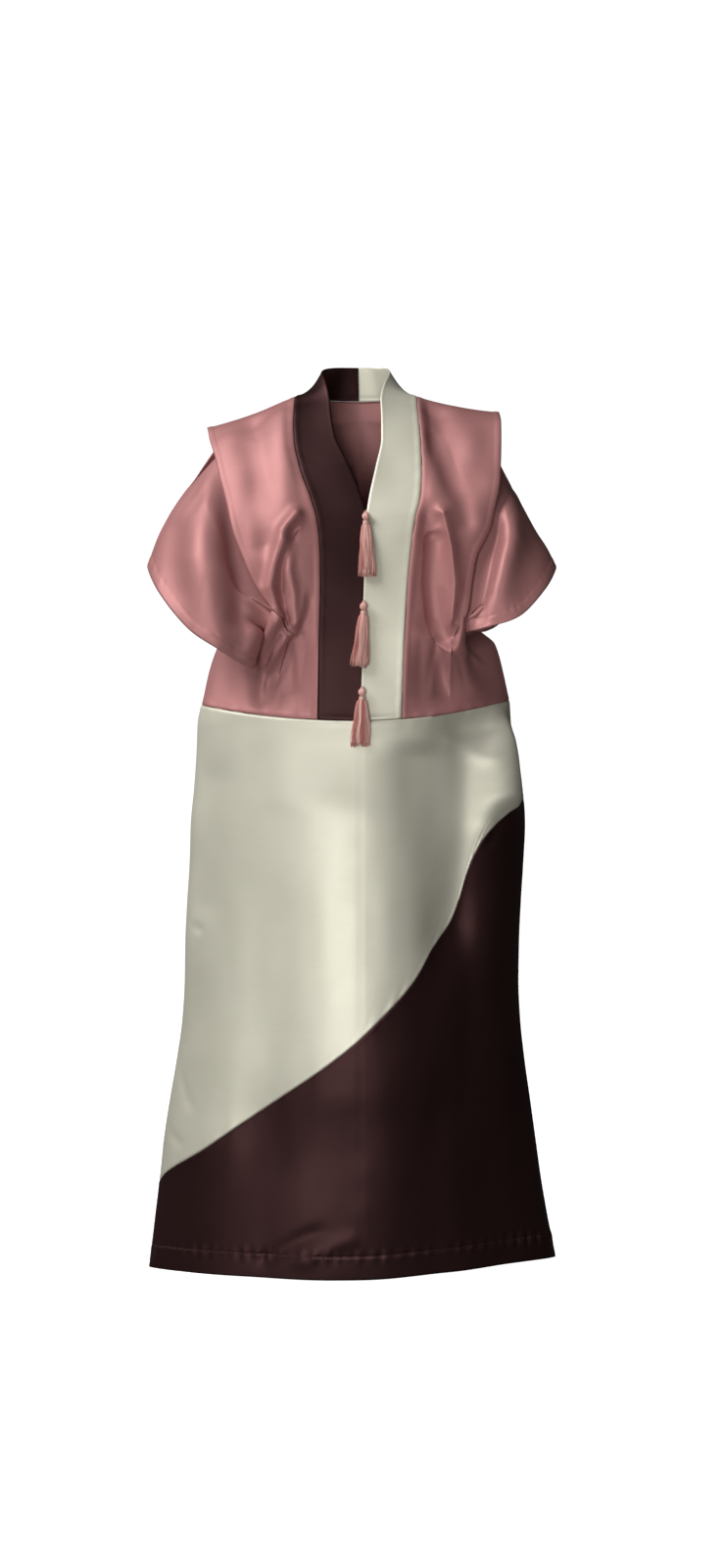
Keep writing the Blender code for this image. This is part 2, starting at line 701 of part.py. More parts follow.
class Sheet:
    """A cloth piece: points on a grid, in millimetres, and four-sided patches."""

    def __init__(self, name, finish, closed=False):
        self.name = name
        self.finish = finish
        self.closed = closed
        self.points = {}
        self.quads = []
        self.given = {}
        self.normals = {}

    def block(self, rows, columns, point, turned=False):
        """Add patches over a grid; rows and columns are lists of (key, value)."""
        for row_key, row in rows:
            for column_key, column in columns:
                key = (row_key, column_key)
                if key not in self.points:
                    self.points[key] = point(row, column)
        for (r0, _), (r1, _) in zip(rows, rows[1:]):
            for (c0, _), (c1, _) in zip(columns, columns[1:]):
                quad = [(r0, c0), (r0, c1), (r1, c1), (r1, c0)]
                self.quads.append(quad[::-1] if turned else quad)

    def face_out(self):
        """Turn the patches so that they face away from the robe's middle."""
        centre = sum(self.points.values(), Vector()) / len(self.points)
        total = 0.0
        for quad in self.quads:
            a, b, c, d = [self.points[key] for key in quad]
            middle = (a + b + c + d) / 4
            base = centre if self.closed else Vector((0.0, 0.0, middle.z))
            total += (c - a).cross(d - b).dot(middle - base)
        if total < 0:
            self.quads = [quad[::-1] for quad in self.quads]

    def find_normals(self):
        """Directions out of the cloth at every point."""
        self.face_out()
        sums = {key: Vector() for key in self.points}
        for quad in self.quads:
            a, b, c, d = [self.points[key] for key in quad]
            normal = (c - a).cross(d - b)
            for key in quad:
                sums[key] += normal
        self.normals = {key: total.normalized() for key, total in sums.items()}
        self.normals.update(self.given)

    def rim(self):
        """Edges that belong to one patch only, in the patch's own direction."""
        count = {}
        for quad in self.quads:
            for a, b in zip(quad, quad[1:] + quad[:1]):
                count.setdefault(frozenset((a, b)), []).append((a, b))
        return [found[0] for found in count.values() if len(found) == 1]

    def draw_in(self):
        """Move the rim in by half a seam gap."""
        inward = {}
        for a, b in self.rim():
            run = self.points[b] - self.points[a]
            for key in (a, b):
                direction = self.normals[key].cross(run).normalized()
                inward.setdefault(key, []).append(direction)
        for key, found in inward.items():
            first = found[0]
            last = found[-1]
            gap = SEAM_GAP / MM / 2
            self.points[key] += (first + last) * gap / max(1 + first.dot(last), 0.3)

    def build(self):
        """Make the wall: both faces of the cloth and its rim."""
        mesh = bpy.data.meshes.new(self.name)
        net = bmesh.new()
        half = WALL / 2
        outer = {}
        inner = {}
        for key, point in self.points.items():
            outer[key] = net.verts.new(point * MM + self.normals[key] * half)
            inner[key] = net.verts.new(point * MM - self.normals[key] * half)
        for quad in self.quads:
            net.faces.new([outer[key] for key in quad])
            net.faces.new([inner[key] for key in reversed(quad)])
        for a, b in self.rim():
            net.faces.new((outer[b], outer[a], inner[a], inner[b]))
        net.to_mesh(mesh)
        net.free()
        mesh.shade_smooth()
        mesh.set_sharp_from_angle(angle=math.radians(50))
        place(self.name, mesh, self.finish)


def match_seams(sheets):
    """Give coincident seam points of neighbouring pieces one common direction."""
    entries = [(sheet, key) for sheet in sheets for key in {k for edge in sheet.rim() for k in edge}]
    tree = kdtree.KDTree(len(entries))
    for index, (sheet, key) in enumerate(entries):
        tree.insert(sheet.points[key], index)
    tree.balance()
    found = {}
    for index, (sheet, key) in enumerate(entries):
        group = [entries[hit[1]] for hit in tree.find_range(sheet.points[key], SEAM_REACH / MM)]
        given = [other.normals[k] for other, k in group if k in other.given]
        chosen = given or [other.normals[k] for other, k in group]
        found[index] = sum(chosen, Vector()).normalized()
    for index, (sheet, key) in enumerate(entries):
        sheet.normals[key] = found[index]


def line_key(value):
    """Key of one grid line."""
    return round(value, 4)


def keyed(values):
    """Grid lines with their keys."""
    return [(line_key(value), value) for value in values]


def spread(start, end, count):
    """Even values from start to end."""
    return [mix(start, end, k / count) for k in range(count + 1)]


def front_sheet(side, name):
    """Front bodice of one side, with a notch at the armhole."""
    sheet = Sheet(name, "rose_satin")
    near = keyed(spread(0.0, 1.0, FRONT_COLUMNS))
    far = keyed(spread(1.0, 2.0, SIDE_COLUMNS))

    def point(level, s):
        return front_point(side, s, level)

    sheet.block(keyed(UPPER_LEVELS), near, point)
    sheet.block(keyed(LOWER_LEVELS), near, point)
    sheet.block(keyed(LOWER_LEVELS), far, point)
    for key, s in near:
        sheet.given[(line_key(0.0), key)] = ridge_normal(side, s == 0.0)
    give_lower_edges(sheet, side, near + far, True, lambda at: seam_point(side, at))
    return sheet


def ridge_normal(side, at_neck=False):
    """Direction up out of the shoulder ridge; it leans back where the neckline starts."""
    run = edge_point(side, 0.0) - seam_point(side, 0.0)
    up = Vector((-run.z, 0.0, run.x)).normalized() * side.sign
    return (up + Vector(NECK_LEAN) * Vector((side.sign, 1, 1))).normalized() if at_neck else up


def side_normal(side, level):
    """Direction out of the side seam."""
    run = side_point(side, min(level + 0.05, WAIST)) - side_point(side, level - 0.05)
    return Vector((-run.z, 0.0, run.x)).normalized() * side.sign


def give_lower_edges(sheet, side, columns, front, start):
    """Known directions along the waist seam and the side seam of a bodice piece."""
    middle = u_at(side.sign * PINCH_COLUMN_AT_WAIST, PINCH_WAIST_DROP if front else BACK_PINCH_WAIST_DROP)
    first = u_at(start(WAIST).x, BAND_WAIST_DROP)
    for key, s in columns:
        u = mix(first, middle, s) if s <= 1 else mix(middle, side.sign, s - 1)
        sheet.given[(line_key(WAIST), key)] = waist_normal(u, front)
    last = columns[-1][0]
    for level_key, level in keyed(LOWER_LEVELS[:-1]):
        sheet.given[(level_key, last)] = side_normal(side, level)


def back_sheet():
    """Back bodice in one piece."""
    sheet = Sheet("bodice_back", "rose_satin")
    neck = [(level - CENTRE_BACK) / -CENTRE_BACK * NECK_SHARE for level in NECK_LEVELS]
    ridge = spread(NECK_SHARE, 1.0, BACK_COLUMNS)
    near = neck + ridge[1:]
    far = spread(1.0, 2.0, SIDE_COLUMNS)

    for side in (RIGHT, LEFT):
        def point(level, s, side=side):
            return back_point(side, s, level)

        def columns(values, side=side):
            return [(0 if value == 0 else (side.sign, round(value, 4)), value) for value in values]

        turned = side is LEFT
        sheet.block(keyed(BACK_LEVELS), columns(near), point, turned)
        sheet.block(keyed(LOWER_LEVELS), columns(near), point, turned)
        sheet.block(keyed(LOWER_LEVELS), columns(far), point, turned)
        for key, value in columns(ridge):
            sheet.given[(line_key(0.0), key)] = ridge_normal(side, value == NECK_SHARE)
        give_lower_edges(sheet, side, columns(near + far), False, back_start)
    return sheet


def band_sheet(side, name, finish):
    """Front band and half of the standing collar."""
    sheet = Sheet(name, finish)
    levels = list(NECK_LEVELS) + list(UPPER_LEVELS[1:]) + list(LOWER_LEVELS[1:])

    def point(level, s):
        return mix(seam_point(side, level), inner_point(side, level), s)

    columns = keyed(spread(0.0, 1.0, BAND_COLUMNS))
    sheet.block(keyed(levels), columns, point)
    for key, s in columns:
        u = mix(u_at(side.band_waist, BAND_WAIST_DROP), u_at(CENTRE_WAIST, WAIST_CENTRE), s)
        sheet.given[(line_key(WAIST), key)] = waist_normal(u)
        sheet.points[(line_key(WAIST), key)] = waist_point(u)
    return sheet


def skirt_sheet(name, finish, front, top, bottom, rows):
    """One colour of the skirt, front or back, between two lines across it."""
    sheet = Sheet(name, finish)
    columns = keyed(spread(-1.0, 1.0, SKIRT_COLUMNS))

    def point(share, u):
        return skirt_point(u, mix(top(u, front), bottom(u, front), share), front)

    sheet.block(keyed(spread(0.0, 1.0, rows)), columns, point)
    for row_key, _ in keyed(spread(0.0, 1.0, rows)):
        for key, u in (columns[0], columns[-1]):
            sheet.given[(row_key, key)] = Vector((u, 0.0, 0.0))
    return sheet


def upper_skirt_sheet(name, front):
    """Ivory of the skirt, from the waist seam to the slant."""
    sheet = skirt_sheet(name, "ivory_satin", front, waist_drop, slant_drop, IVORY_ROWS)
    for key, u in keyed(spread(-1.0, 1.0, SKIRT_COLUMNS)):
        sheet.given[(line_key(0.0), key)] = waist_normal(u, front)
    return sheet


def lower_skirt_sheet(name, front):
    """Aubergine of the skirt, from the slant to the hem."""
    return skirt_sheet(name, "aubergine_satin", front, slant_drop, hem_drop, AUBERGINE_ROWS)


def sleeve_sheet(side, name):
    """Sleeve as a closed tube."""
    sheet = Sheet(name, "rose_satin", closed=True)
    rows = keyed([0.0, UNDER_FLANGE / 2] + spread(UNDER_FLANGE, 1.0, SLEEVE_ROWS))
    for row_key, w in rows:
        for k in range(SLEEVE_POINTS):
            sheet.points[(row_key, k)] = sleeve_point(side, k / SLEEVE_POINTS, w)
    for (r0, _), (r1, _) in zip(rows, rows[1:]):
        for k in range(SLEEVE_POINTS):
            following = (k + 1) % SLEEVE_POINTS
            sheet.quads.append([(r0, k), (r0, following), (r1, following), (r1, k)])
    return sheet


# Tassels


def cloth_depth(z):
    """How far forward the cloth lies at the centre front, at one height."""
    if z < inner_point(RIGHT, WAIST).z:
        return skirt_point(0.0, -z).y
    low, high = 5.0, WAIST
    for _ in range(30):
        middle = (low + high) / 2
        if inner_point(RIGHT, middle).z > z:
            low = middle
        else:
            high = middle
    return inner_point(RIGHT, low).y


def tassel_head(net, top):
    """Wound head as one closed body; returns its lower faces."""
    bottom = top - Vector((0, 0, HEAD_HEIGHT))
    rings = [[net.verts.new(bottom * MM)]]
    for ring in range(1, TASSEL_RINGS + 1):
        count = 6 * ring
        radius = HEAD_RADIUS * ring / TASSEL_RINGS
        turns = [2 * math.pi * k / count for k in range(count)]
        rings.append([
            net.verts.new((bottom + Vector((math.cos(t), math.sin(t), 0)) * radius) * MM)
            for t in turns
        ])
    lower = []
    for ring in range(1, TASSEL_RINGS + 1):
        outer, inner = rings[ring], rings[ring - 1]
        for sector in range(6):
            for k in range(ring):
                a = outer[(sector * ring + k) % len(outer)]
                b = outer[(sector * ring + k + 1) % len(outer)]
                c = inner[(sector * (ring - 1) + k) % len(inner)]
                lower.append(net.faces.new((a, c, b)))
                if k < ring - 1:
                    d = inner[(sector * (ring - 1) + k + 1) % len(inner)]
                    lower.append(net.faces.new((b, c, d)))
    loop = rings[-1]
    for height, width in HEAD_PROFILE:
        middle = bottom + Vector((0, 0, HEAD_HEIGHT * height))
        following = []
        for vert in loop:
            turn = math.atan2(vert.co.y / MM - middle.y, vert.co.x / MM - middle.x)
            offset = Vector((math.cos(turn), math.sin(turn), 0)) * HEAD_RADIUS * width
            following.append(net.verts.new((middle + offset) * MM))
        for k in range(len(loop)):
            n = (k + 1) % len(loop)
            net.faces.new((loop[k], loop[n], following[n], following[k]))
        loop = following
    net.faces.new(loop)
    return lower


def draw_lock(net, face, row, top, chance):
    """Draw one lock of thread down out of a face under the head."""
    root = face.calc_center_median() / MM - top
    sway = chance.uniform(-LOCK_SWAY, LOCK_SWAY)
    length = row.length + chance.uniform(-LOCK_LENGTHS, LOCK_LENGTHS)
    spread_above = 1.0
    flatten = LOCK_FLATTEN
    for share, width, size in LOCK_STEPS:
        face = bmesh.ops.extrude_discrete_faces(net, faces=[face])["faces"][0]
        spread = mix(1.0, row.spread / 2 / HEAD_RADIUS, width)
        z = row.z - mix(HEAD_HEIGHT, length, share)
        x = row.x + root.x * spread + row.lean * share + sway
        y = cloth_depth(z) - LOCK_CLEAR - (HEAD_RADIUS - root.y) * LOCK_FLATTEN
        centre = face.calc_center_median()
        for vert in face.verts:
            arm = (vert.co - centre) * size
            across = Vector((arm.x * spread / spread_above, arm.y * flatten, arm.z))
            vert.co = Vector((x, y, z)) * MM + across
        spread_above = spread
        flatten = 1.0


def tassel(row):
    """One tassel: a wound head, and locks of thread drawn out of its lower face."""
    chance = random.Random(row.name)
    heights = [row.z, row.z - HEAD_HEIGHT]
    back = min(cloth_depth(z) for z in heights) - WALL / MM / 2 - TASSEL_SEAT
    top = Vector((row.x, back - HEAD_RADIUS * HEAD_PROFILE_WIDEST, row.z))
    net = bmesh.new()
    lower = tassel_head(net, top)
    net.normal_update()
    bmesh.ops.inset_individual(net, faces=lower, thickness=LOCK_INSET * MM, use_even_offset=True)
    for face in lower:
        draw_lock(net, face, row, top, chance)
    mesh = bpy.data.meshes.new(row.name)
    net.to_mesh(mesh)
    net.free()
    place(row.name, mesh, "rose_thread")


def place(name, mesh, finish):
    """Put a mesh into the scene as one named piece."""
    piece = bpy.data.objects.new(name, mesh)
    piece.data.materials.append(material(finish))
    bpy.context.scene.collection.objects.link(piece)


def material(finish):
    """The satin or thread of one colour."""
    found = bpy.data.materials.get(finish)
    if found:
        return found
    colour, roughness = FINISHES[finish]
    made = bpy.data.materials.new(finish)
    made.use_nodes = True
    shader = made.node_tree.nodes["Principled BSDF"]
    shader.inputs["Base Color"].default_value = (*colour, 1.0)
    shader.inputs["Roughness"].default_value = roughness
    shader.inputs["Metallic"].default_value = 0.0
    return made


def main():
    """Clear the scene, cut the pieces, join them at the seams and thicken them."""
    for old in list(bpy.data.objects):
        bpy.data.objects.remove(old, do_unlink=True)
    sheets = [
        front_sheet(RIGHT, "bodice_front_right"),
        front_sheet(LEFT, "bodice_front_left"),
        back_sheet(),
        band_sheet(RIGHT, "band_right", "aubergine_satin"),
        band_sheet(LEFT, "band_left", "ivory_satin"),
        upper_skirt_sheet("skirt_front_ivory", True),
        lower_skirt_sheet("skirt_front_aubergine", True),
        upper_skirt_sheet("skirt_back_ivory", False),
        lower_skirt_sheet("skirt_back_aubergine", False),
        sleeve_sheet(RIGHT, "sleeve_right"),
        sleeve_sheet(LEFT, "sleeve_left"),
    ]
    for sheet in sheets:
        sheet.find_normals()
    match_seams(sheets)
    for sheet in sheets:
        sheet.draw_in()
        sheet.build()
    for row in TASSELS:
        tassel(row)


main()
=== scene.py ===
# %% [markdown]
# # A grand boubou robe in three satins
#
# A grand boubou is a full robe cut from a few large panels.  This one has a rose
# bodice whose fronts and back run out over the arms as flanges, full short sleeves
# set in below them, a wide front band in two colours that turns into a standing
# collar, and a long flat skirt that a slanting seam parts into ivory and aubergine.
#
# The solids of the frame give each panel's place.  Here every panel is worked out
# again from the same cutting tables on a much finer grid, so that the folds, seams
# and puckers of real cloth have room, and is then given its satin.

# %% Load the frame
import math

import bpy
import numpy as np
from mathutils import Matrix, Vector
from mathutils.kdtree import KDTree


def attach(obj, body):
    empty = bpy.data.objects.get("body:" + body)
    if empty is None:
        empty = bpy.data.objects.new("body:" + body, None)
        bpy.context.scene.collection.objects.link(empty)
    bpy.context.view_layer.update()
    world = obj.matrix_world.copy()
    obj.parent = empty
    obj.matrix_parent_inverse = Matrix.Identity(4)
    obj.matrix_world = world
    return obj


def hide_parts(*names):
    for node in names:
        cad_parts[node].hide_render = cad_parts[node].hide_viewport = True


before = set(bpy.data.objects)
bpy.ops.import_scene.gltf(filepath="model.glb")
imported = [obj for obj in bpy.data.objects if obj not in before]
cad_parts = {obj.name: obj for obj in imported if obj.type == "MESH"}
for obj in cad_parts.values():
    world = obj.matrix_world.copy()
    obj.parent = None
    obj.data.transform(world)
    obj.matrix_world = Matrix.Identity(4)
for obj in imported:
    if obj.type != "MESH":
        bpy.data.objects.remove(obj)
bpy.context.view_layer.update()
print("nodes:", ", ".join(sorted(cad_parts)))

# %% [markdown]
# The photograph was taken from 3.2 m away with the camera level with the hips.  A
# level camera keeps the sides of the skirt upright, so the view is set by its
# distance and by how much of the wall it takes in: 2.59 m over the long side.

# %% Camera
CAMERA_AWAY = 3.2
VIEW_TALL = 2.592
CAMERA_HEIGHT = -0.64
CAMERA_ACROSS = 0.0057
camera_data = bpy.data.cameras.new("camera")
camera_data.sensor_width = 36.0
camera_data.lens = camera_data.sensor_width * CAMERA_AWAY / VIEW_TALL
camera = bpy.data.objects.new("camera", camera_data)
camera.location = (CAMERA_ACROSS, -CAMERA_AWAY, CAMERA_HEIGHT)
camera.rotation_euler = (math.pi / 2, 0.0, 0.0)
bpy.context.scene.collection.objects.link(camera)
bpy.context.scene.camera = camera
print(f"lens {camera_data.lens:.1f} mm")

# %% [markdown]
# A pattern cutter works from a table of widths and heights.  These are the robe's,
# in millimetres, with the origin between the two shoulder points.  `read` draws a
# curve through one column that never swings past its own numbers, so a seam drawn
# with it has no waves that the table doesn't have.

# %% Tables and curves
MM = 0.001


def table(columns, *rows):
    """Columns of numbers by name."""
    return dict(zip(columns.split(), np.array(rows, float).T))


def read(rows, column, at, key="level"):
    """One column of a table between its rows, on a curve that never overshoots."""
    places = rows[key]
    values = rows[column]
    at = np.clip(np.asarray(at, float), places[0], places[-1])
    steps = np.diff(values) / np.diff(places)
    same_way = steps[:-1] * steps[1:] > 0
    inner = 2 * steps[:-1] * steps[1:] / np.where(same_way, steps[:-1] + steps[1:], 1.0)
    slopes = np.concatenate([steps[:1], np.where(same_way, inner, 0.0), steps[-1:]])
    k = np.clip(np.searchsorted(places, at, side="right") - 1, 0, len(steps) - 1)
    gap = places[k + 1] - places[k]
    t = (at - places[k]) / gap
    return (
        values[k] * (1 + 2 * t) * (1 - t) ** 2
        + values[k + 1] * t * t * (3 - 2 * t)
        + slopes[k] * gap * t * (1 - t) ** 2
        - slopes[k + 1] * gap * t * t * (1 - t)
    )


def smooth(t):
    """Ease from 0 to 1."""
    t = np.clip(t, 0.0, 1.0)
    return t * t * (3 - 2 * t)


def mix(a, b, t):
    """Blend two numbers."""
    return a + (b - a) * t


def between(a, b, t):
    """Blend two points."""
    return a + (b - a) * np.asarray(t, float)[..., None]


def place(x, y, z):
    """Points from their three coordinates."""
    return np.stack(np.broadcast_arrays(*(np.asarray(c, float) for c in (x, y, z))), axis=-1)


print(f"eased, a quarter of the way along: {smooth(0.25):.3f}")

# %% [markdown]
# A fold in hanging cloth is a soft ridge along a line.  It could be sculpted by hand, but
# a list of lines with a width and a height is easier to set against a photograph and to
# change, so every fold of the robe is a row of numbers that this function adds up.

# %% Folds


def fold_height(x, z, folds, taper=0.0):
    """Sum of the folds at a place seen from the front: each is a line, a width and a height."""
    total = np.zeros(np.broadcast(x, z).shape)
    for line, width, height in folds:
        nearest = np.full(total.shape, 1e9)
        left = np.zeros(total.shape)
        steps = len(line) - 1
        for k, ((ax, az), (bx, bz)) in enumerate(zip(line, line[1:])):
            run_x = bx - ax
            run_z = bz - az
            t = np.clip(((x - ax) * run_x + (z - az) * run_z) / (run_x**2 + run_z**2), 0, 1)
            away = np.hypot(x - ax - run_x * t, z - az - run_z * t)
            left = np.where(away < nearest, 1 - (k + t) / steps, left)
            nearest = np.minimum(nearest, away)
        fade = smooth(left / taper) if taper else 1.0
        total = total + height * fade * np.exp(-((nearest / width) ** 2))
    return total


one_fold = ((((0, 0), (0, -100)), 8, 10),)
print("a fold 10 mm high, half its width away:", fold_height(4.0, -50.0, one_fold).round(2))

# %% [markdown]
# The skirt is two flat panels joined at the sides.  Worn, it opens into a lens: full
# in front and behind, closed to an edge at each side seam.  `u` runs across a panel
# from the right side seam, -1, to the left, 1, and `drop` runs down from the shoulder.

# %% Skirt form
LENS_POWER = 1.3
WAIST_EASE = 60.0
FOLDS_START = 545.0
WAIST_CENTRE = 540.0
WAIST_SIDE_RIGHT = 510.0
WAIST_SIDE_LEFT = 502.0
BACK_WAIST_CENTRE = 506.0
BACK_HEM_CENTRE = 1428.0
OUTLINE = table(
    "drop right left front back",
    (380, 222, 206, 122, 100), (500, 257, 249, 124, 105), (543, 266, 252, 124, 106),
    (575, 267, 260, 125, 107), (640, 271, 270, 125, 108), (705, 277, 275, 126, 109),
    (770, 279, 272, 126, 110), (834, 283, 268, 127, 111), (900, 286, 265, 127, 112),
    (965, 287, 264, 128, 113), (1029, 291, 267, 128, 114), (1094, 300, 274, 129, 115),
    (1158, 311, 283, 129, 116), (1223, 321, 292, 130, 117), (1288, 328, 301, 130, 118),
    (1353, 336, 312, 130, 118), (1440, 346, 329, 131, 118),
)
HEM_LINE = table(
    "u drop",
    (-1.0, 1438), (-0.6, 1430), (-0.3, 1427), (0.0, 1426), (0.3, 1419), (0.6, 1415), (1.0, 1421),
)
SLANT_FRONT = table(
    "x drop",
    (-328, 1296), (-262, 1239), (-198, 1193), (-103, 1126), (-25, 1068), (30, 1017), (83, 960),
    (117, 909), (151, 866), (167, 825), (181, 781), (205, 731), (225, 706), (250, 680), (272, 663),
)
SLANT_BACK = table(
    "u drop",
    (-1.0, 1233), (-0.6, 1160), (-0.2, 1050), (0.1, 945), (0.4, 810), (0.7, 712), (1.0, 663),
)
SKIRT_FOLDS_FRONT = (
    (((-45, -690), (-28, -1120)), 70, 9),
    (((100, -600), (150, -930)), 48, -12),
    (((-150, -830), (-150, -1200)), 55, -8),
    (((225, -580), (215, -700)), 35, 7),
    (((-240, -640), (-255, -830)), 32, -5),
    (((60, -1120), (-40, -1400)), 80, 6),
    (((180, -1000), (220, -1400)), 50, -7),
)
SKIRT_FOLDS_BACK = (
    (((-110, -600), (-140, -1400)), 50, 10),
    (((20, -640), (10, -1300)), 45, -9),
    (((130, -580), (170, -1380)), 55, 9),
    (((-215, -800), (-240, -1400)), 35, -6),
)


def half_width(drop, u):
    """Half the skirt's width at one height, on the side that u names."""
    right = read(OUTLINE, "right", drop, "drop")
    left = read(OUTLINE, "left", drop, "drop")
    return np.where(np.asarray(u) < 0, right, left)


def skirt_point(u, drop, front=True):
    """Point of the skirt."""
    x = half_width(drop, u) * np.sin(np.pi * u / 2)
    fullness = np.maximum(np.cos(np.pi * u / 2), 0.0) ** LENS_POWER
    depth = read(OUTLINE, "front" if front else "back", drop, "drop") * fullness
    folds = fold_height(x, -drop, SKIRT_FOLDS_FRONT if front else SKIRT_FOLDS_BACK)
    folds = folds * smooth((drop - FOLDS_START) / WAIST_EASE) * np.minimum(1.0, 3.0 * fullness)
    return place(x, (-1 if front else 1) * (depth + folds), -drop)


def u_at(x, drop):
    """Place across the skirt of a given x."""
    return 2 / np.pi * np.arcsin(np.clip(x / half_width(drop, x), -1.0, 1.0))


def waist_drop(u, front=True):
    """Drop of the waist seam."""
    side_drop = np.where(np.asarray(u) < 0, WAIST_SIDE_RIGHT, WAIST_SIDE_LEFT)
    centre = WAIST_CENTRE if front else BACK_WAIST_CENTRE
    return mix(centre, side_drop, np.sin(np.pi * u / 2) ** 2)


def waist_point(u, front=True):
    """Point on the waist seam."""
    return skirt_point(u, waist_drop(u, front), front)


def hem_drop(u, front=True):
    """Drop of the hem."""
    if front:
        return read(HEM_LINE, "drop", u, "u")
    side_drop = np.where(np.asarray(u) < 0, HEM_LINE["drop"][0], HEM_LINE["drop"][-1])
    return mix(side_drop, BACK_HEM_CENTRE, np.cos(np.pi * u / 2))


SLANT_ROWS = {"u": u_at(SLANT_FRONT["x"], SLANT_FRONT["drop"]), "drop": SLANT_FRONT["drop"]}


def slant_drop(u, front=True):
    """Drop of the slanting seam."""
    return read(SLANT_ROWS if front else SLANT_BACK, "drop", u, "u")


print("skirt hem half widths:", half_width(1430.0, -1.0), half_width(1430.0, 1.0))

# %% [markdown]
# The bodice is drawn in levels: 0 at the shoulder ridge, 9 at the pinch where the
# flange ends, 10 at the waist, and -4 to 0 round the back of the neck.  `s` runs
# across a front from the band, 0, to the flange's edge, 1, and below the pinch on to
# the side seam, 2.

# %% Bodice tables
CENTRE_BACK = -4.0
PINCH = 9.0
WAIST = 10.0
FRONT_JOIN = 6.0
RIDGE_SAG = 4.0
NECK_SHARE = 0.45
PINCH_COLUMN_AT_WAIST = 150.0
BAND_WAIST_DROP = 537.0
PINCH_WAIST_DROP = 528.0
BACK_PINCH_WAIST_DROP = 510.0
CENTRE_WAIST = 4.0
UNDERARM_DIP = 8.0
BACK_SWELL = 10.0
CENTRE_ROUND = 0.12
BAND_RIGHT = table(
    "level seam_x seam_y seam_z inner_x inner_y inner_z",
    (-4, 0, 66, 5, 0, 48, 58), (-3, -32, 62, 5, -27, 42, 57), (-2, -62, 50, 4, -50, 25, 52),
    (-1, -88, 28, 2, -60, 0, 41), (0, -103, 0, 0, -53, -21, 18), (1, -105.5, -30, -22, -47, -36, -10),
    (2, -106, -50, -50, -44, -52, -40), (3, -104, -68, -85, -38, -68, -76),
    (4, -93, -88, -135, -20, -84, -117), (5, -76, -105, -183, 2, -99, -172),
    (6, -66, -114, -220, 12, -111, -216), (7, -61.5, -120, -270, 10, -119, -268),
    (8, -61, -122, -330, 8, -122, -330), (9, -63, -122, -400, 6, -123, -400),
)
BAND_LEFT = table(
    "level seam_x seam_y seam_z inner_x inner_y inner_z",
    (-4, 0, 66, 5, 0, 48, 58), (-3, 32, 62, 5, 27, 42, 57), (-2, 60, 50, 4, 46, 25, 52),
    (-1, 85, 27, 2, 51, 0, 41), (0, 95, 0, 0, 42, -21, 18), (1, 97, -30, -24, 36, -36, -10),
    (2, 99, -50, -52, 37, -52, -42), (3, 101, -68, -88, 37, -68, -80),
    (4, 102, -88, -138, 28, -85, -128), (5, 99, -103, -182, 17, -101, -180),
    (6, 91, -112, -215, 12, -111, -216), (7, 84, -120, -266, 10, -119, -268),
    (8, 78, -122, -330, 8, -122, -330), (9, 74, -122, -400, 6, -123, -400),
)
FLANGE_RIGHT = table(
    "level x y z back_y swell",
    (0, -251, 0, -52, 0, 0), (1, -244, -26, -77, 20, 3), (2, -234, -46, -107, 36, 6),
    (3, -224, -66, -145, 50, 9), (4, -212, -84, -188, 62, 12), (5, -200, -102, -237, 73, 13),
    (6, -180, -117, -290, 82, 11), (7, -152, -126, -343, 88, 7), (8, -128, -127, -370, 92, 3),
    (9, -107, -121, -401, 94, 0),
)
FLANGE_LEFT = table(
    "level x y z back_y swell",
    (0, 232, 0, -26, 0, 0), (1, 231, -26, -50, 20, 3), (2, 229, -45, -85, 36, 6),
    (3, 226, -64, -129, 50, 9), (4, 221, -88, -183, 62, 12), (5, 213, -100, -226, 73, 13),
    (6, 188, -114, -278, 82, 11), (7, 181, -121, -318, 88, 7), (8, 174, -124, -366, 92, 3),
    (9, 149, -121, -408, 94, 0),
)
SIDE_RIGHT = table("level x z", (9, -203, -378), (9.2, -225, -400), (9.6, -245, -450), (10, -258, -510))
SIDE_LEFT = table("level x z", (9, 192, -380), (9.2, 226, -409), (9.6, 240, -455), (10, 250, -502))
BACK_CENTRE = table(
    "level y z",
    (0, 66, 5), (1, 80, -25), (2, 88, -60), (3, 94, -100), (4, 99, -145), (5, 103, -190),
    (6, 106, -240), (7, 107, -290), (8, 107, -340), (9, 106, -392),
)
FOLDS_RIGHT = (
    (((-98, -209), (-118, -237), (-132, -289), (-141, -329), (-129, -361)), 11, 13),
    (((-104, -236), (-121, -300), (-123, -338), (-114, -378)), 8, -7),
    (((-112, -258), (-111, -304), (-102, -341), (-102, -385)), 9, 8),
    (((-180, -95), (-170, -150), (-150, -258)), 17, -7),
    (((-137, -376), (-171, -452)), 11, 6),
    (((-122, -410), (-160, -470), (-164, -515)), 11, 7),
    (((-96, -405), (-112, -515)), 13, -4),
)
FOLDS_LEFT = (
    (((122, -77), (145, -142), (165, -186), (172, -221)), 16, -7),
    (((134, -208), (147, -266), (152, -322), (147, -380)), 12, 12),
    (((120, -250), (117, -324), (124, -374), (146, -418)), 10, -8),
    (((150, -425), (190, -485)), 15, 6),
    (((118, -410), (124, -520)), 17, 4),
)
FOLDS_BACK = (
    (((-150, -190), (-128, -300), (-118, -390)), 15, 9),
    (((150, -190), (140, -300), (140, -398)), 15, 9),
    (((-120, -405), (-165, -490)), 15, 6),
    (((142, -410), (180, -485)), 15, 6),
)
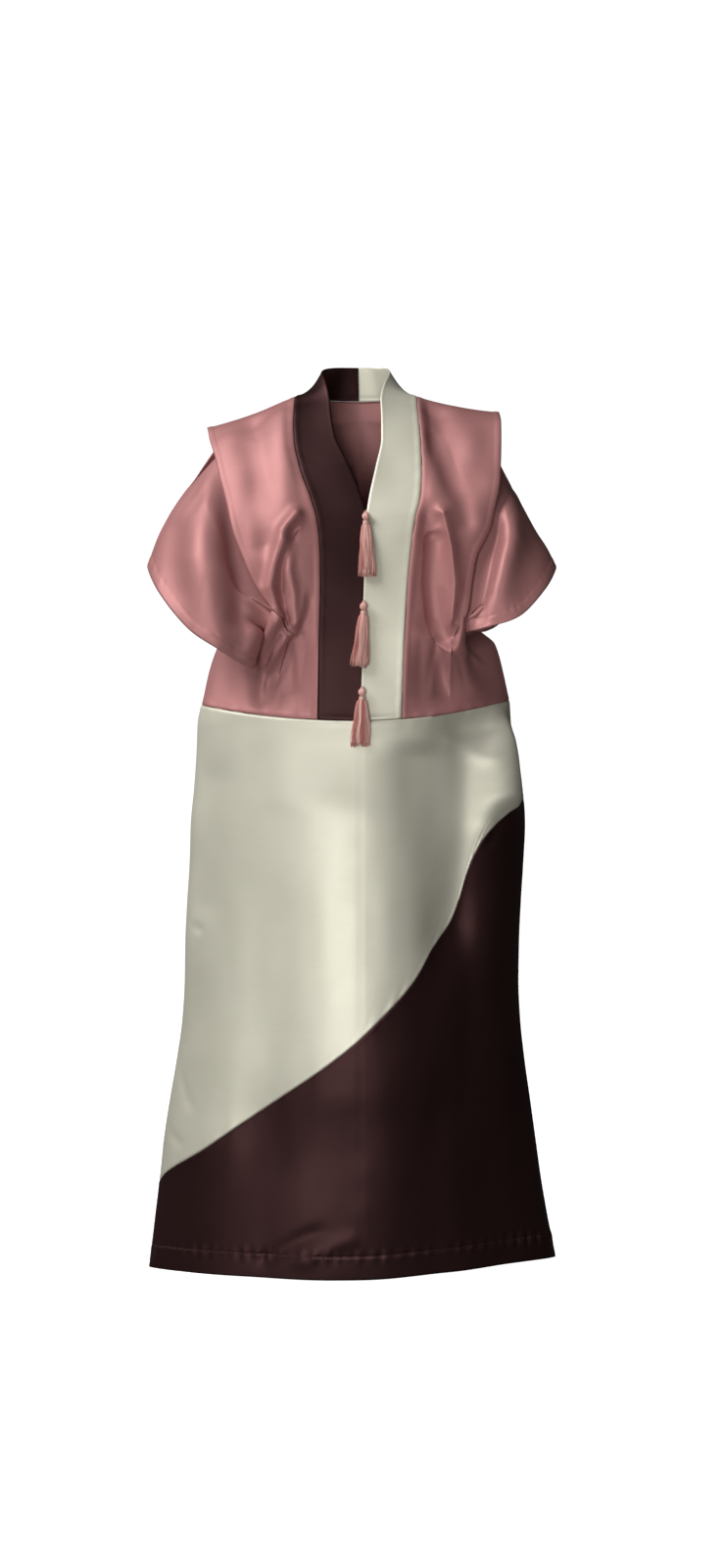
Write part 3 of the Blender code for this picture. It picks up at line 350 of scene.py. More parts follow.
MIDDLE_RIGHT = table(
    "turn x y z",
    (0.0, -300, -25, -178), (0.13, -268, -95, -222), (0.25, -232, -134, -292), (0.36, -180, -134, -378),
    (0.44, -152, -110, -402), (0.5, -212, -36, -394), (0.58, -252, 10, -368), (0.75, -284, 42, -280),
    (0.88, -298, 22, -215),
)
CUFF_RIGHT = table(
    "turn x y z",
    (0.0, -343, -60, -289), (0.13, -318, -112, -338), (0.25, -266, -146, -398), (0.36, -210, -146, -436),
    (0.44, -168, -114, -457), (0.5, -182, -92, -440), (0.6, -232, -44, -396), (0.75, -282, -26, -345),
    (0.88, -326, -34, -303),
)
MIDDLE_LEFT = table(
    "turn x y z",
    (0.0, 278, -25, -200), (0.13, 258, -90, -228), (0.25, 235, -126, -290), (0.36, 200, -128, -352),
    (0.44, 171, -108, -382), (0.5, 205, -36, -390), (0.58, 240, 8, -366), (0.75, 268, 42, -285),
    (0.88, 277, 22, -228),
)
CUFF_LEFT = table(
    "turn x y z",
    (0.0, 321, -60, -291), (0.13, 300, -112, -329), (0.25, 258, -142, -373), (0.36, 211, -138, -391),
    (0.44, 170, -108, -397), (0.5, 182, -86, -393), (0.6, 226, -38, -374), (0.75, 270, -22, -342),
    (0.88, 308, -32, -304),
)


class Side:
    """One half of the robe: which way it lies and its tables."""

    def __init__(self, sign, band, band_waist, flange, seam, folds, middle, cuff):
        self.sign = sign
        self.band = band
        self.band_waist = band_waist
        self.flange = flange
        self.seam = seam
        self.folds = folds
        self.middle = middle
        self.cuff = cuff


RIGHT = Side(-1, BAND_RIGHT, -65.0, FLANGE_RIGHT, SIDE_RIGHT, FOLDS_RIGHT, MIDDLE_RIGHT, CUFF_RIGHT)
LEFT = Side(1, BAND_LEFT, 69.0, FLANGE_LEFT, SIDE_LEFT, FOLDS_LEFT, MIDDLE_LEFT, CUFF_LEFT)
print(f"bodice levels: {CENTRE_BACK} to {WAIST}, pinch at {PINCH}")

# %% [markdown]
# Four lines carry the bodice: the band's seam, the band's inner edge, the flange's free
# edge and the side seam.  A panel is then stretched between two of them, which keeps
# neighbours joined, because both read the same line.

# %% Seam lines


def rounded(level):
    """Level for heights, which starts flat so that the shoulder rolls over."""
    level = np.asarray(level, float)
    return np.where((level <= 0) | (level >= 1), level, level * level * (2 - level))


def seam_point(side, level):
    """Outer seam of the band, where band and bodice meet."""
    high = np.minimum(level, PINCH)
    seam = place(
        read(side.band, "seam_x", high),
        read(side.band, "seam_y", high),
        read(side.band, "seam_z", rounded(high)),
    )
    end = waist_point(u_at(side.band_waist, BAND_WAIST_DROP))
    return between(seam, end, np.maximum(level - PINCH, 0.0))


def inner_point(side, level):
    """Inner edge of the band; below the neckline both bands share one line."""
    high = np.minimum(level, PINCH)
    own = place(*[read(side.band, "inner_" + axis, high) for axis in "xyz"])
    shared = place(*[read(RIGHT.band, "inner_" + axis, high) for axis in "xyz"])
    inner = np.where(np.asarray(level >= FRONT_JOIN)[..., None], shared, own)
    end = waist_point(u_at(CENTRE_WAIST, WAIST_CENTRE))
    return between(inner, end, np.maximum(level - PINCH, 0.0))


def edge_point(side, level, front=True):
    """Free edge of the flange."""
    return place(
        read(side.flange, "x", level),
        read(side.flange, "y" if front else "back_y", level),
        read(side.flange, "z", rounded(level)),
    )


def side_point(side, level):
    """Side seam of the bodice."""
    return place(read(side.seam, "x", level), 0.0, read(side.seam, "z", level))


print("pinch of the right flange:", edge_point(RIGHT, PINCH).round(1))

# %% [markdown]
# The fronts and the back have two parts each.  Above the pinch they run out to the
# flange's edge, and below it they close round the side and meet the skirt's waist.

# %% Bodice form


def skirt_part(side, level, s, start, middle, front):
    """Lower bodice: from the pinch and the underarm down to the lens of the waist."""
    w = np.clip(level - PINCH, 0.0, 1.0)
    near = np.minimum(s, 1.0)
    t = np.clip(s - 1.0, 0.0, 1.0)
    pinch = edge_point(side, PINCH, front)
    top_far = between(pinch, side_point(side, PINCH), t)
    top_far[..., 1] = pinch[1] * (1 - t) ** 0.9
    top_far[..., 2] -= UNDERARM_DIP * 4 * t * (1 - t)
    is_near = np.asarray(s <= 1)
    top = np.where(is_near[..., None], between(start(PINCH), pinch, near), top_far)
    first = u_at(start(WAIST)[0], BAND_WAIST_DROP)
    low = waist_point(np.where(is_near, mix(first, middle, near), mix(middle, side.sign, t)), front)
    made = between(top, low, w)
    made[..., 1] = mix(top[..., 1], low[..., 1], smooth(w))
    from_start = start(level) - between(start(PINCH), start(WAIST), w)
    from_side = side_point(side, level) - between(side_point(side, PINCH), side_point(side, WAIST), w)
    made = made + from_start * ((1 - near) ** 2)[..., None] * is_near[..., None]
    return made + from_side * (t**2)[..., None]


def front_point(side, s, level):
    """Point of the front bodice, folds included."""
    s, level = np.broadcast_arrays(np.asarray(s, float), np.asarray(level, float))
    upper = between(seam_point(side, level), edge_point(side, level), s)
    arch = 4 * s * (1 - s)
    upper[..., 1] -= read(side.flange, "swell", level) * arch
    upper[..., 2] -= RIDGE_SAG * arch * smooth(1 - level)
    middle = u_at(side.sign * PINCH_COLUMN_AT_WAIST, PINCH_WAIST_DROP)

    def start(at):
        return seam_point(side, at)

    lower = skirt_part(side, level, s, start, middle, True)
    made = np.where(((level <= PINCH) & (s <= 1))[..., None], upper, lower)
    hold = smooth(s / 0.2) * smooth((2 - s) / 0.4) * smooth(level / 1.5) * smooth((WAIST - level) / 0.35)
    made[..., 1] -= fold_height(made[..., 0], made[..., 2], side.folds) * hold
    return made


def back_start(level):
    """Centre line of the back panel."""
    high = np.minimum(level, PINCH)
    centre = place(0.0, read(BACK_CENTRE, "y", high), read(BACK_CENTRE, "z", high))
    return between(centre, waist_point(0.0, False), np.maximum(level - PINCH, 0.0))


def back_point(side, s, level):
    """Point of the back bodice, folds included."""
    s, level = np.broadcast_arrays(np.asarray(s, float), np.asarray(level, float))
    lower_level = np.maximum(level, 1.0)
    upper = between(back_start(lower_level), edge_point(side, lower_level, False), s)
    swell = smooth(level / 3) * smooth((PINCH - level) / 3 + 0.3)
    upper[..., 1] += BACK_SWELL * 4 * s * (1 - s) * swell
    fall = read(BACK_CENTRE, "y", lower_level) - read(side.flange, "back_y", lower_level)
    rounding = np.sqrt(s * s + CENTRE_ROUND**2) - s
    upper[..., 1] -= fall * rounding * smooth((PINCH - level) / 2)
    neck = seam_point(side, mix(CENTRE_BACK, 0.0, np.minimum(s / NECK_SHARE, 1.0)))
    ridge = front_point(side, np.maximum((s - NECK_SHARE) / (1 - NECK_SHARE), 0.0), 0.0)
    top = np.where((s < NECK_SHARE)[..., None], neck, ridge)
    share = np.minimum(level, 1.0)
    rolled = place(
        mix(top[..., 0], upper[..., 0], share),
        mix(top[..., 1], upper[..., 1], share),
        mix(top[..., 2], upper[..., 2], rounded(share)),
    )
    upper = np.where((level < 1)[..., None], rolled, upper)
    middle = u_at(side.sign * PINCH_COLUMN_AT_WAIST, BACK_PINCH_WAIST_DROP)
    lower = skirt_part(side, level, s, back_start, middle, False)
    made = np.where(((level <= PINCH) & (s <= 1))[..., None], upper, lower)
    hold = smooth((2 - s) / 0.4) * smooth(level / 1.5) * smooth((WAIST - level) / 0.35)
    made[..., 1] += fold_height(made[..., 0], made[..., 2], FOLDS_BACK) * hold
    return made


print("waist corner of the right front:", front_point(RIGHT, 2.0, WAIST).round(1))

# %% [markdown]
# The sleeve is sewn in under the flange, so its first few centimetres are hidden.
# `turn` goes once round the arm: 0 on top, a quarter in front, a half below.  `w`
# runs from the armhole seam, 0, to the sleeve's hem, 1.

# %% Sleeve form
ARMHOLE_SHARE = 0.72
ARMHOLE_END = 8.3
FLANGE_TURN = 0.32
UNDERARM_LIFT = 3.6
UNDERARM_REACH = 12.0
ARMHOLE_SEAT = 2.9
LOW_SEAT = 13.0
LOW_START = 4.0
LOW_SPAN = 2.5
FLANGE_CLEAR = 9.0
SHOULDER_DROP = 30.0
SHOULDER_SPAN = 3.5
UNDER_FLANGE = 0.12
UP = np.array((0.0, 0.0, 1.0))


def unit(vectors):
    """Vectors at length 1."""
    return vectors / np.maximum(np.linalg.norm(vectors, axis=-1, keepdims=True), 1e-9)


def out_of(surface, s, level, away):
    """Direction out of a bodice panel."""
    step = 0.01
    lower = np.maximum(level, 0.02)
    across = surface(s + step, lower) - surface(s - step, lower)
    down = surface(s, lower + step) - surface(s, lower - step)
    normal = unit(np.cross(across, down))
    return normal * np.sign(normal @ np.array(away))[..., None]


print("unit vector of (3, 4, 0):", unit(np.array((3.0, 4.0, 0.0))))

# %% Armhole


def armhole_side(side, level, front):
    """Sleeve seam and the place just under the flange's edge, in front or behind."""
    share = mix(ARMHOLE_SHARE, 1.0, (level / PINCH) ** 2)
    if front:
        panel_point = front_point
        seam_s = share
        edge_s = mix(0.87, 0.99, smooth(level / 3))
        away = (0, -1, 0.3)
    else:
        panel_point = back_point
        seam_s = mix(NECK_SHARE, 1.0, share)
        edge_s = mix(mix(NECK_SHARE, 1.0, 0.87), 0.995, smooth(level / 3))
        away = (0, 1, 0.3)

    def panel(s, at):
        return panel_point(side, s, at)

    low = smooth((level - LOW_START) / LOW_SPAN)
    straight = np.array((0.0, -1.0 if front else 1.0, 0.0))
    at_top = (level < 0.05)[..., None]
    out_seam = np.where(at_top, UP, between(out_of(panel, seam_s, level, away), straight, low))
    out_edge = np.where(at_top, UP, between(out_of(panel, edge_s - 0.02, level, away), straight, low))
    drop = mix(mix(SHOULDER_DROP, FLANGE_CLEAR, smooth(level / SHOULDER_SPAN)), LOW_SEAT, low)
    seam = panel(seam_s, level) - out_seam * mix(ARMHOLE_SEAT, LOW_SEAT, low)[..., None]
    return seam, panel(edge_s, level) - out_edge * drop[..., None]


def underarm(side, t, front):
    """Sleeve seam along the underarm, from beside the pinch, 0, to the side seam, 1."""
    panel = front_point if front else back_point
    seam = panel(side, mix(1.1, 2.0, t), PINCH) + UP * UNDERARM_LIFT
    outward = place(side.sign * mix(0.75, 1.0, t), mix(-0.66, -0.35, t) * (1 if front else -1), 0.0)
    return seam, seam + outward * UNDERARM_REACH


def armhole(side, turn):
    """Two rings of the sleeve under the flange."""
    half = np.where(turn <= 0.5, turn, 1 - turn)
    level = ARMHOLE_END * np.minimum(half / FLANGE_TURN, 1.0)
    t = np.clip((half - FLANGE_TURN) / (0.5 - FLANGE_TURN), 0.0, 1.0)
    below = underarm(side, t, True)
    behind = underarm(side, t, False)
    found = []
    for k in (0, 1):
        back = between(below[k], behind[k], smooth((1 - t) / 0.15))
        rings = []
        for front, low_ring in ((True, below[k]), (False, back)):
            high_ring = armhole_side(side, level, front)[k]
            joined = between(high_ring, low_ring, smooth(t / 0.25))
            rings.append(np.where((t > 0)[..., None], joined, high_ring))
        found.append(np.where((turn <= 0.5)[..., None], rings[0], rings[1]))
    return found


print("armhole on top of the right shoulder:", armhole(RIGHT, np.array([0.0]))[0].round(1))

# %% Sleeve surface


def ring_point(rows, turn):
    """Point on a closed ring through the rows of its table."""
    count = len(rows["turn"])
    knots = np.arange(-2, count + 3)
    turns = rows["turn"][knots % count] + knots // count
    points = place(rows["x"], rows["y"], rows["z"])[knots % count]
    runs = (points[2:] - points[:-2]) / (turns[2:] - turns[:-2])[:, None]
    k = np.searchsorted(turns, turn, side="right") - 1
    span = (turns[k + 1] - turns[k])[..., None]
    t = (turn - turns[k])[..., None] / span
    return (
        points[k] * ((1 + 2 * t) * (1 - t) ** 2)
        + points[k + 1] * (t * t * (3 - 2 * t))
        + runs[k - 1] * span * (t * (1 - t) ** 2)
        - runs[k] * span * (t * t * (1 - t))
    )


def sleeve_point(side, turn, w):
    """Point of the sleeve."""
    turn, w = np.broadcast_arrays(np.asarray(turn, float) % 1.0, np.asarray(w, float))
    seam, under = armhole(side, turn)
    middle = ring_point(side.middle, turn)
    end = ring_point(side.cuff, turn)
    hidden = between(seam, under, np.clip(w / UNDER_FLANGE, 0, 1))
    t = np.clip((w - UNDER_FLANGE) / (1 - UNDER_FLANGE), 0, 1)[..., None]
    run = (end - under) / 2
    v = np.minimum(t / 0.5, 1.0)
    first = under * (1 - v) ** 2 * (1 + v) + middle * (v * v * (3 - 2 * v) + v * (1 - v) ** 2)
    first = first - run * (v * v * (1 - v))
    v = np.maximum((t - 0.5) / 0.5, 0.0)
    second = middle * ((1 + 2 * v) * (1 - v) ** 2 + v * v * (1 - v))
    second = second + run * (v * (1 - v) ** 2) + end * (v * v * (3 - 2 * v) - v * v * (1 - v))
    made = np.where(t <= 0.5, first, second)
    return np.where((w <= UNDER_FLANGE)[..., None], hidden, made)


print("sleeve hem, front:", sleeve_point(RIGHT, 0.25, 1.0).round(1))

# %% [markdown]
# Real cloth is never the pattern's smooth form.  Seams pull a groove with a soft lip
# where the turned edges lie underneath, a row of machine stitches puckers, and satin
# shows every ripple because it shines.  A fine mesh that is pushed in and out along
# its normals gives all of these as real shape, which a bump map can't do at the edges.

# %% Cloth tools


class Cloth:
    """A sewn panel on a fine grid, with marks: numbers kept for every point."""

    def __init__(self, *blocks):
        places = np.concatenate([block["place"].reshape(-1, 3) for block in blocks])
        keys = np.round(places / 0.01).astype(np.int64)
        _, first, index = np.unique(keys, axis=0, return_index=True, return_inverse=True)
        index = index.ravel()
        self.points = places[first]
        self.marks = {
            name: np.concatenate([block[name].ravel() for block in blocks])[first]
            for name in blocks[0] if name != "place"
        }
        faces = []
        start = 0
        for block in blocks:
            rows, columns = block["place"].shape[:2]
            ids = index[start:start + rows * columns].reshape(rows, columns)
            quads = np.stack([ids[:-1, :-1], ids[1:, :-1], ids[1:, 1:], ids[:-1, 1:]], axis=-1)
            faces.append(quads.reshape(-1, 4))
            start += rows * columns
        self.faces = np.concatenate(faces)
        self.turn_outwards()

    def turn_outwards(self):
        """Face the panel away from the robe's middle line."""
        corners = self.points[self.faces]
        across = np.cross(corners[:, 2] - corners[:, 0], corners[:, 3] - corners[:, 1])
        middle = corners.mean(axis=1)
        centre = self.points.mean(axis=0) * np.array((self.marks["closed"][0], self.marks["closed"][0], 1.0))
        outward = (middle - centre) * np.array((1.0, 1.0, self.marks["closed"][0]))
        if (across * outward).sum() < 0:
            self.faces = self.faces[:, ::-1]

    def normals(self):
        """Directions out of the cloth."""
        corners = self.points[self.faces]
        across = np.cross(corners[:, 2] - corners[:, 0], corners[:, 3] - corners[:, 1])
        sums = np.zeros_like(self.points)
        for k in range(4):
            np.add.at(sums, self.faces[:, k], across)
        return unit(sums)

    def push(self, amount):
        """Move the cloth out along its normals, in millimetres."""
        self.points = self.points + self.normals() * amount[:, None]


# %% Grids of cloth


def block(place_of, rows, columns, closed=0.0):
    """A grid of points with its lengths along and across, in millimetres."""
    row, column = np.meshgrid(rows, columns, indexing="ij")
    points = place_of(row, column)
    steps_across = np.linalg.norm(np.diff(points, axis=1), axis=-1)
    steps_down = np.linalg.norm(np.diff(points, axis=0), axis=-1)
    across = np.pad(np.cumsum(steps_across, axis=1), ((0, 0), (1, 0)))
    down = np.pad(np.cumsum(steps_down, axis=0), ((1, 0), (0, 0)))
    return {
        "place": points,
        "row": row,
        "column": column,
        "across": across,
        "down": down,
        "to_left": across,
        "to_right": across[:, -1:] - across,
        "to_top": down,
        "to_bottom": down[-1:] - down,
        "closed": np.full(row.shape, closed),
    }


# %% Seams, edges and ripples
# Farther from a seam than anything beside it reaches, in millimetres.
FAR_OFF = 99.0


def groove(away, depth=0.9, width=1.8, lip=0.5):
    """Height beside a seam: a groove, and a lip over the turned edges under it."""
    return lip * np.exp(-(((away - 5.0) / 3.2) ** 2)) - depth * np.exp(-((away / width) ** 2))


def turned_edge(away, width=7.0, height=0.7):
    """Height along a free edge, where the cloth is doubled under."""
    return height * smooth((width + 1.5 - away) / 3.0) - 0.6 * np.exp(-((away / 1.0) ** 2))


def uneven(at, pitch, seed):
    """A wave along a seam whose pitch and height keep changing."""
    chance = np.random.default_rng(seed)
    total = 0.0
    for _ in range(5):
        length = pitch * chance.uniform(0.65, 1.7)
        total = total + np.sin(2 * np.pi * at / length + chance.uniform(0, 2 * np.pi))
    return total / 2.2


def ripple(x, z, long_x, long_z, seed, waves=9):
    """Soft unevenness of hanging cloth, about -1 to 1."""
    chance = np.random.default_rng(seed)
    total = 0.0
    for _ in range(waves):
        wave_x = chance.uniform(0.6, 1.6) / long_x
        wave_z = chance.uniform(-1.2, 1.2) / long_z
        total = total + np.sin(2 * np.pi * (x * wave_x + z * wave_z) + chance.uniform(0, 2 * np.pi))
    return total / math.sqrt(waves)


def puckers(along, away, pitch, height, reach, seed):
    """Short ripples that a row of stitches pulls across itself."""
    return height * uneven(along, pitch, seed) * np.exp(-((away / reach) ** 2))


print(f"height in the middle of a seam's groove: {groove(0.0):.2f} mm")

# %% [markdown]
# Satin is woven so that long threads lie side by side on the face, which makes it
# smooth and bright across them.  Blender's Principled shader has what that needs: a
# middling roughness, some anisotropy so that the shine runs out sideways, and a
# little sheen for the nap.  The threads are about 0.12 mm apart, too fine to show in
# the render, so a very low bump draws them as bundles 5.7 mm apart.

# %% Material tools


def linear(code):
    """Linear colour of an sRGB hex value."""
    values = [int(code[k:k + 2], 16) / 255 for k in (1, 3, 5)]
    return tuple(v / 12.92 if v <= 0.04045 else ((v + 0.055) / 1.055) ** 2.4 for v in values) + (1.0,)


def add(tree, kind, links=(), **settings):
    """Add a node: settings are its properties or its sockets' values, links join its sockets."""
    made = tree.nodes.new(kind)
    for name, value in settings.items():
        if hasattr(made, name):
            setattr(made, name, value)
        else:
            made.inputs[name.replace("_", " ")].default_value = value
    for socket, source in dict(links).items():
        tree.links.new(source, made.inputs[socket])
    return made


def new_material(name):
    """An empty material, its node tree and its shader."""
    made = bpy.data.materials.new(name)
    made.use_nodes = True
    return made, made.node_tree, made.node_tree.nodes["Principled BSDF"]


print(f"linear value of #808080: {linear('#808080')[0]:.3f}")

# %% Satin
BUNDLE_MM = 5.655
SLUB_MM = 3.5
PATCH_MM = 180.0
# Blender's wave texture repeats after this length at scale 1.
WAVE_LENGTH = 2 * math.pi / 20


def satin(name, deep, light, roughness, metallic, bump=0.03):
    """Woven satin: two close shades, thread lines, a few slubs and faint handling marks."""
    made, tree, shader = new_material(name)
    shader.inputs["Roughness"].default_value = roughness
    shader.inputs["Metallic"].default_value = metallic
    shader.inputs["Specular IOR Level"].default_value = 0.2
    shader.inputs["Anisotropic"].default_value = 0.4
    shader.inputs["Sheen Weight"].default_value = 0.03
    shader.inputs["Sheen Roughness"].default_value = 0.4
    shader.inputs["Sheen Tint"].default_value = linear(light)
    cut = add(tree, "ShaderNodeTexCoord").outputs["UV"]
    per_metre = 1000.0
    patches = add(tree, "ShaderNodeTexNoise", {"Vector": cut}, Scale=per_metre / PATCH_MM, Detail=3.0)
    stretched = add(tree, "ShaderNodeMapping", {"Vector": cut}, Scale=(0.06, 1.0, 1.0))
    slubs = add(
        tree, "ShaderNodeTexNoise", {"Vector": stretched.outputs["Vector"]},
        Scale=per_metre / SLUB_MM, Detail=2.0,
    )
    shade = add(
        tree, "ShaderNodeMix", {"A": patches.outputs["Fac"], "B": slubs.outputs["Fac"]},
        data_type="FLOAT", Factor=0.15,
    )
    ramp = add(tree, "ShaderNodeValToRGB", {"Fac": shade.outputs["Result"]})
    ramp.color_ramp.elements[0].position = 0.4
    ramp.color_ramp.elements[0].color = linear(deep)
    ramp.color_ramp.elements[1].position = 0.6
    ramp.color_ramp.elements[1].color = linear(light)
    tree.links.new(ramp.outputs["Color"], shader.inputs["Base Color"])
    threads = add(
        tree, "ShaderNodeTexWave", {"Vector": cut},
        bands_direction="Y", Scale=per_metre * WAVE_LENGTH / BUNDLE_MM, Distortion=0.6, Detail=1.0,
    )
    heights = add(
        tree, "ShaderNodeMix", {"A": threads.outputs["Fac"], "B": slubs.outputs["Fac"]},
        data_type="FLOAT", Factor=0.6,
    )
    relief = add(
        tree, "ShaderNodeBump", {"Height": heights.outputs["Result"]},
        Strength=bump, Distance=0.0004,
    )
    tree.links.new(relief.outputs["Normal"], shader.inputs["Normal"])
    tangent = add(tree, "ShaderNodeTangent", direction_type="UV_MAP", uv_map="cut")
    tree.links.new(tangent.outputs["Tangent"], shader.inputs["Tangent"])
    return made


SATINS = {
    "rose_satin": satin("rose satin", "#AE7876", "#B6807E", 0.53, 0.3),
    "ivory_satin": satin("ivory satin", "#DCD9C6", "#E3E0CE", 0.5, 0.45),
    "aubergine_satin": satin("aubergine satin", "#3C2626", "#422A2A", 0.48, 0.8),
}
print("satins:", ", ".join(SATINS))

# %% [markdown]
# A cut panel becomes a thin double-sided shell with Blender's Solidify modifier.  Its
# lengths along and across, measured over the cloth, become the map that the satin is
# laid out on, so the weave keeps its size on every panel.

# %% Make a panel
SHELL = 0.8 * MM
CLOTHS = {}


def panel(name, node, slot, cloth, flat, area, held):
    """Turn a cloth into a thin shell that stands for its solid; the cut size it is given is not used."""
    mesh = bpy.data.meshes.new(name)
    mesh.from_pydata((cloth.points * MM).tolist(), [], cloth.faces.tolist())
    layer = mesh.uv_layers.new(name="cut")
    corners = cloth.faces.ravel()
    cut = np.stack([cloth.marks["across"], -cloth.marks["down"]], axis=-1)[corners] * MM
    layer.data.foreach_set("uv", cut.astype(np.float32).ravel())
    mesh.shade_smooth()
    mesh.materials.append(SATINS[slot])
    piece = bpy.data.objects.new(name, mesh)
    bpy.context.scene.collection.objects.link(piece)
    wall = piece.modifiers.new("cloth", "SOLIDIFY")
    wall.thickness = SHELL
    wall.offset = 0.0
    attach(piece, "root")
    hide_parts(node)
    CLOTHS[name] = cloth
    print(f"{name}: {len(cloth.faces)} faces")


def grid(start, end, length, spacing):
    """Even places from start to end, for a stretch of the given length in millimetres."""
    return np.linspace(start, end, max(int(length / spacing), 2) + 1)


# %% [markdown]
# The skirt's front comes first because it is the largest surface.  It is flat stiff
# satin that stands off the legs, so it has few folds: a broad crown down the middle,
# a hollow each side of it, and fine diagonal pulls at the hips and the hem.  The
# front has a seam down its centre, where two widths of cloth meet.

# %% Skirt panels
SKIRT_SPACING = 4.0
SKIRT_ACROSS = 660.0
SKIRT_DOWN = 700.0
SIDE_CALM = 30.0
EDGE_CALM = 22.0
CENTRE_SEAM_X = 2.0
HEM_STITCH = 37.0
SKIRT_CREASES = (
    (((40, -560), (30, -760), (-20, -1300)), 80, 7),
    (((172, -560), (168, -800), (140, -960)), 44, -17),
    (((242, -548), (244, -700)), 25, 20),
    (((-150, -830), (-150, -1200)), 55, 4),
    (((-230, -640), (-245, -1100)), 60, -3),
    (((-120, -560), (-110, -700)), 40, 3),
    (((215, -735), (238, -690)), 9, -2.2),
    (((-292, -870), (-250, -880)), 8, -1.8),
    (((-300, -1100), (-268, -1180)), 9, -1.6),
    (((-325, -1200), (-282, -1235)), 9, -1.6),
    (((-150, -1398), (-100, -1366), (-40, -1338)), 13, -2.4),
    (((-90, -1398), (-40, -1372), (10, -1352)), 14, 1.8),
    (((150, -575), (236, -600)), 16, 2.5),
)


def skirt_cloth(front, top, bottom, low):
    """One colour of the skirt, front or back."""
    columns = grid(-1.0, 1.0, SKIRT_ACROSS, SKIRT_SPACING)
    rows = grid(0.0, 1.0, SKIRT_DOWN, SKIRT_SPACING)

    def place_of(share, u):
        return skirt_point(u, mix(top(u, front), bottom(u, front), share), front)

    cloth = Cloth(block(place_of, rows, columns))
    x, _, z = cloth.points.T
    marks = cloth.marks
    inside = smooth(marks["to_left"] / SIDE_CALM) * smooth(marks["to_right"] / SIDE_CALM)
    seed = 11 if front else 12
    height = 0.9 * ripple(x, z, 190, 900, seed) * inside
    height += 0.15 * ripple(x, z, 70, 300, seed + 2) * inside
    height += groove(marks["to_left"]) + groove(marks["to_right"])
    height += groove(marks["to_top"], 0.4, 1.3, 0.2)
    height += puckers(marks["across"], marks["to_top"], 26, 0.25, 14, seed + 4)
    if low:
        height += turned_edge(marks["to_bottom"], HEM_STITCH, 0.5)
        line = np.abs(marks["to_bottom"] - HEM_STITCH)
        height += puckers(marks["across"], line, 15, 1.6, 10, seed + 5)
        height -= 0.7 * np.exp(-((line / 1.6) ** 2))
    else:
        height += groove(marks["to_bottom"], 0.4, 1.3, 0.2)
        height += puckers(marks["across"], marks["to_bottom"], 30, 0.3, 16, seed + 6)
    if front:
        edge = smooth(half_width(-z, x) / EDGE_CALM - np.abs(x) / EDGE_CALM)
        height += fold_height(x, z, SKIRT_CREASES, 0.3) * inside * edge
        height += groove(np.abs(x - CENTRE_SEAM_X), 0.35, 2.0, 0.08)
        height += puckers(-z, np.abs(x - CENTRE_SEAM_X), 60, 0.15, 16, seed + 7)
    cloth.push(height)
    return cloth


SKIRTS = (
    ("skirt_front_ivory", "ivory_satin", True, waist_drop, slant_drop, False, (0.62, 0.80), 0.318),
    ("skirt_front_aubergine", "aubergine_satin", True, slant_drop, hem_drop, True, (0.72, 0.82), 0.305),
    ("skirt_back_ivory", "ivory_satin", False, waist_drop, slant_drop, False, (0.62, 0.76), 0.292),
    ("skirt_back_aubergine", "aubergine_satin", False, slant_drop, hem_drop, True, (0.72, 0.82), 0.335),
)
for name, slot, front, top, bottom, low, flat, area in SKIRTS:
    cloth = skirt_cloth(front, top, bottom, low)
    panel("satin_" + name, name, slot, cloth, flat, area, "hung")

# %% [markdown]
# Each front bodice is gathered into one tight point below the flange.  The cloth
# above it rolls into two pleats, and below it short folds fan out to the waist.
# These folds are drawn one by one as lines seen from the front.

# %% Front bodice
BODICE_SPACING = 2.6
FRONT_ACROSS = 150.0
FRONT_DOWN = 420.0
FRONT_LOW_DOWN = 130.0
LOW_HOLLOW = 9.0
FLANGE_HEM = (9.0, 0.9)
CREASES_RIGHT = (
    (((-108, -398), (-126, -372), (-150, -352)), 4.5, 2.2),
    (((-106, -396), (-117, -368), (-131, -340)), 3.5, -1.8),
    (((-100, -398), (-90, -360), (-84, -318)), 6, 2.0),
    (((-96, -400), (-80, -370), (-72, -330)), 6, -1.6),
    (((-127, -374), (-148, -412), (-166, -456)), 7, 6),
    (((-122, -394), (-140, -428), (-160, -486)), 5, -5),
    (((-110, -402), (-129, -425), (-152, -462), (-160, -522)), 7, 6),
    (((-108, -408), (-120, -440), (-138, -500)), 6, -3),
    (((-104, -406), (-112, -440), (-126, -480)), 5, -1.8),
    (((-100, -406), (-96, -450), (-92, -500)), 7, 1.6),
    (((-180, -95), (-170, -150), (-150, -258)), 17, 5),
    (((-182, 0), (-164, -90), (-156, -150), (-150, -240)), 26, -9),
    (((-134, 0), (-124, -100), (-112, -180)), 26, 4),
)
CREASES_LEFT = (
    (((148, -406), (158, -372), (166, -330)), 5, -2.0),
    (((136, -410), (108, -395), (88, -372)), 8, -1.4),
    (((118, 0), (134, -60), (162, -140), (190, -240)), 30, -12),
    (((246, -20), (240, -130), (222, -210)), 38, 12),
    (((118, -225), (118, -330), (125, -400), (138, -500), (138, -560)), 27, -13),
    (((148, -414), (164, -444), (176, -490)), 5, -2.2),
    (((152, -412), (184, -432), (214, -456)), 6, 2.2),
    (((142, -416), (146, -450), (150, -505)), 6, 2.0),
    (((130, -412), (116, -450), (108, -505)), 8, -1.6),
)


